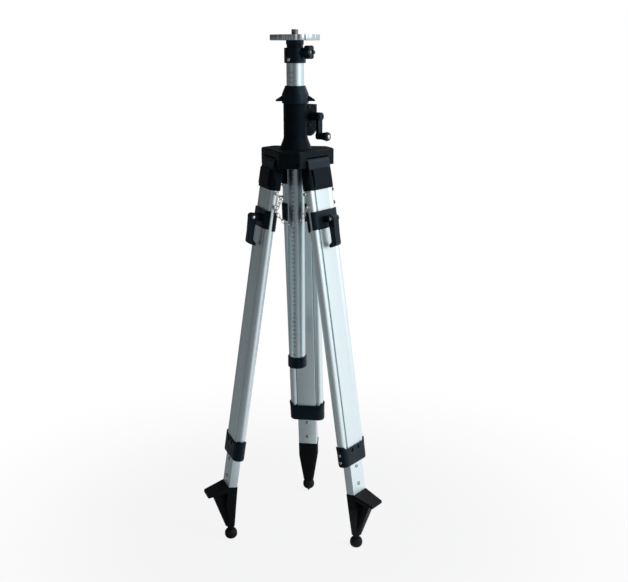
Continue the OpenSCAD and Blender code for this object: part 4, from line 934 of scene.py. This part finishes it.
def chains():
    """Links of round wire. Each chain hangs in a curve between two legs, made in two halves named for their
    legs.
    """
    owners = (("right", "back"), ("back", "left"), ("left", "right"))
    halves = (range(CHAIN_LINKS // 2 + 1), range(CHAIN_LINKS // 2 + 1, CHAIN_LINKS))
    path = link_path(LINK_GAP, LINK_PITCH + LINK_PLAY, LINK_WIRE)
    for corner in range(3):
        base = turn(30 + 120 * corner, "Z") @ move(CHAIN_R, 0, EYE_Z + CHAIN_HOOK * HOOK_UP_SHARE)
        for half in (0, 1):
            bm = bmesh.new()
            for step in halves[half]:
                a = chain_point(-HALF_L + step * LINK_PITCH)
                b = chain_point(-HALF_L + (step + 1) * LINK_PITCH)
                slope = math.degrees(math.atan2(b[1] - a[1], b[0] - a[0]))
                at = (base @ move(0, (a[0] + b[0]) / 2, (a[1] + b[1]) / 2) @ turn(90, "Z")
                      @ turn(-slope, "Y") @ turn(90 if step % 2 == 0 else 0, "X"))
                tube(bm, [at @ p for p in path], LINK_WIRE / 2)
            leg_name = owners[corner][half]
            made = make_piece("chain_" + leg_name + ("_a" if half else "_b"), bm, STEEL, "steel", smooth=60)
            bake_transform(made)
            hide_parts("leg_chains")


housing_screws()
crank()
dress("column_tube", COLUMN_ALLOY, "column_alloy", bevel=0.0)
column_scale()
collar_rivet()
head_plate()
instrument_stud()
star_knob()
for number, leg_name in enumerate(LEGS):
    here = leg_frame(number)
    head = dress(leg_name + "_leg_head", BLACK_SLEEVE, "black_cast", here, bevel=1.6, segments=3)
    # The outer shoulder takes the lighter pad black, which carries a painted highlight.
    paint_part(head, PAD_BLACK_WITH_HIGHLIGHT, here, head_shoulder)
    leg_rails(number)
    slide_bar(number)
    for shell in ("_clamp_outer", "_clamp_inner"):
        dress(leg_name + shell, BLACK_PLASTIC, "black_plastic", here, bevel=4.5, segments=4,
              corner=shell_corner, plain=0.3)
    dress(leg_name + "_clamp_lever", BLACK_PLASTIC, "black_plastic", here, bevel=2.4, segments=4)
    dress(leg_name + "_foot_shoe", BLACK_SHOE, "black_plastic", here, bevel=2.0, segments=3)
    dress(leg_name + "_foot_spike", DARK_STEEL, "steel", foot_frame(number), bevel=0.3)
    guide_collar(number)
    leg_fasteners(number)
    slide_fasteners(number)
    rubber_tip(number)
chains()


# Stage: floor, world and lamps
DIM_SIDE = 0.055
BRIGHT_WAY = (0.985, 0.17, 0)


class Tree:
    """Helper for the node trees of the stage."""

    def __init__(self, owner):
        owner.use_nodes = True
        self.tree = owner.node_tree
        self.tree.nodes.clear()

    def add(self, kind, inputs=(), **values):
        made = self.tree.nodes.new("ShaderNode" + kind)
        for key, value in values.items():
            setattr(made, key, value)
        for socket, value in inputs:
            if isinstance(value, bpy.types.NodeSocket):
                self.tree.links.new(value, made.inputs[socket])
            else:
                made.inputs[socket].default_value = value
        return made

    def maths(self, operation, a, b):
        return self.add("Math", ((0, a), (1, b)), operation=operation).outputs[0]

    def spread(self, value, low, high, new_low, new_high):
        inputs = (("Value", value), ("From Min", low), ("From Max", high), ("To Min", new_low),
                  ("To Max", new_high))
        return self.add("MapRange", inputs, interpolation_type="SMOOTHSTEP").outputs["Result"]

    def bright_side(self, direction):
        """Level of the studio round the object: bright to the right, dim to the left."""
        flat = self.add("VectorMath", ((0, direction), (1, (1, 1, 0))), operation="MULTIPLY").outputs[0]
        round_it = self.add("VectorMath", ((0, flat),), operation="NORMALIZE").outputs[0]
        across = self.add("VectorMath", ((0, round_it), (1, BRIGHT_WAY)), operation="DOT_PRODUCT")
        return self.spread(across.outputs["Value"], -0.05, 0.97, DIM_SIDE, 1.0)

    def white_share(self, level):
        """How white the background is to a ray: all white to the camera, at the studio's level in metal."""
        path = self.add("LightPath").outputs
        mirrored = self.maths("MAXIMUM", path["Is Glossy Ray"], path["Is Transmission Ray"])
        return self.maths("MAXIMUM", path["Is Camera Ray"], self.maths("MULTIPLY", mirrored, level))


def floor():
    """Pale floor that keeps a soft shadow near the object and runs out to white."""
    mesh = bpy.data.meshes.new("floor")
    bm = bmesh.new()
    bmesh.ops.create_grid(bm, x_segments=1, y_segments=1, size=30)
    bm.to_mesh(mesh)
    bm.free()
    look = bpy.data.materials.new("floor_white")
    tree = Tree(look)
    shader = tree.add("BsdfDiffuse", (("Color", (0.6, 0.6, 0.6, 1)),))
    glow = tree.add("Emission", (("Strength", 1.0),))
    place = tree.add("TexCoord").outputs["Object"]
    away = tree.add("VectorMath", ((0, place),), operation="LENGTH").outputs["Value"]
    fade = tree.spread(away, 0.25, 1.1, 0.88, 1.0)
    share = tree.maths("MULTIPLY", tree.white_share(tree.bright_side(place)), fade)
    mixer = tree.add("MixShader", ((0, share), (1, shader.outputs[0]), (2, glow.outputs[0])))
    tree.add("OutputMaterial", (("Surface", mixer.outputs[0]),))
    mesh.materials.append(look)
    made = bpy.data.objects.new("floor", mesh)
    bpy.context.scene.collection.objects.link(made)


def world():
    """White behind the object, in a studio that is bright on the right and dim on the left."""
    made = bpy.data.worlds.new("studio")
    bpy.context.scene.world = made
    tree = Tree(made)
    level = tree.bright_side(tree.add("TexCoord").outputs["Generated"])
    strength = tree.maths("MULTIPLY", level, 0.6)
    around = tree.add("Background", (("Color", (0.90, 0.96, 1.0, 1)), ("Strength", strength)))
    white = tree.add("Background", (("Color", (1, 1, 1, 1)),))
    share = tree.white_share(level)
    mixer = tree.add("MixShader", ((0, share), (1, around.outputs[0]), (2, white.outputs[0])))
    tree.add("OutputWorld", (("Surface", mixer.outputs[0]),))


def lamp(name, place, target, size, power, colour=(1, 1, 1)):
    data = bpy.data.lights.new(name, "AREA")
    data.shape = "RECTANGLE"
    data.size, data.size_y = size
    data.energy = power
    data.color = colour
    made = bpy.data.objects.new(name, data)
    bpy.context.scene.collection.objects.link(made)
    made.location = place
    made.rotation_euler = (Vector(target) - Vector(place)).to_track_quat("-Z", "Y").to_euler()


def camera():
    """The photograph's view, worked out from the object's own sizes."""
    sensor, focal_pixels, picture_pixels = 36, 909, 628
    away, aside, height = 2.02892, math.radians(9.06), 1.14005
    az, pitch, roll = (math.radians(a) for a in (97.94, 15.04, -0.16))
    level = math.cos(pitch)
    forward = Vector((math.cos(az) * level, math.sin(az) * level, -math.sin(pitch)))
    right = Vector((math.sin(az), -math.cos(az), 0))
    up = right.cross(forward)
    across = math.cos(roll) * right + math.sin(roll) * up
    above = -math.sin(roll) * right + math.cos(roll) * up
    data = bpy.data.cameras.new("photo_view")
    data.sensor_width = sensor
    data.lens = sensor * focal_pixels / picture_pixels
    data.clip_start, data.clip_end = 0.05, 100
    made = bpy.data.objects.new("photo_view", data)
    bpy.context.scene.collection.objects.link(made)
    place = Matrix((across, above, -forward)).transposed().to_4x4()
    place.translation = (away * math.sin(aside), -away * math.cos(aside), height)
    made.matrix_world = place
    bpy.context.scene.camera = made


floor()
world()
lamp("key", (2.6, -1.0, 2.2), (0, 0, 0.6), (1.6, 2.2), 30, (0.9, 0.97, 1.0))
lamp("fill", (-1.8, -2.4, 1.6), (0, 0, 0.6), (1.2, 1.6), 2)
lamp("back", (1.6, 2.2, 2.2), (0, 0, 0.7), (1.6, 1.6), 6)
camera()
bpy.context.scene.view_settings.view_transform = "Standard"
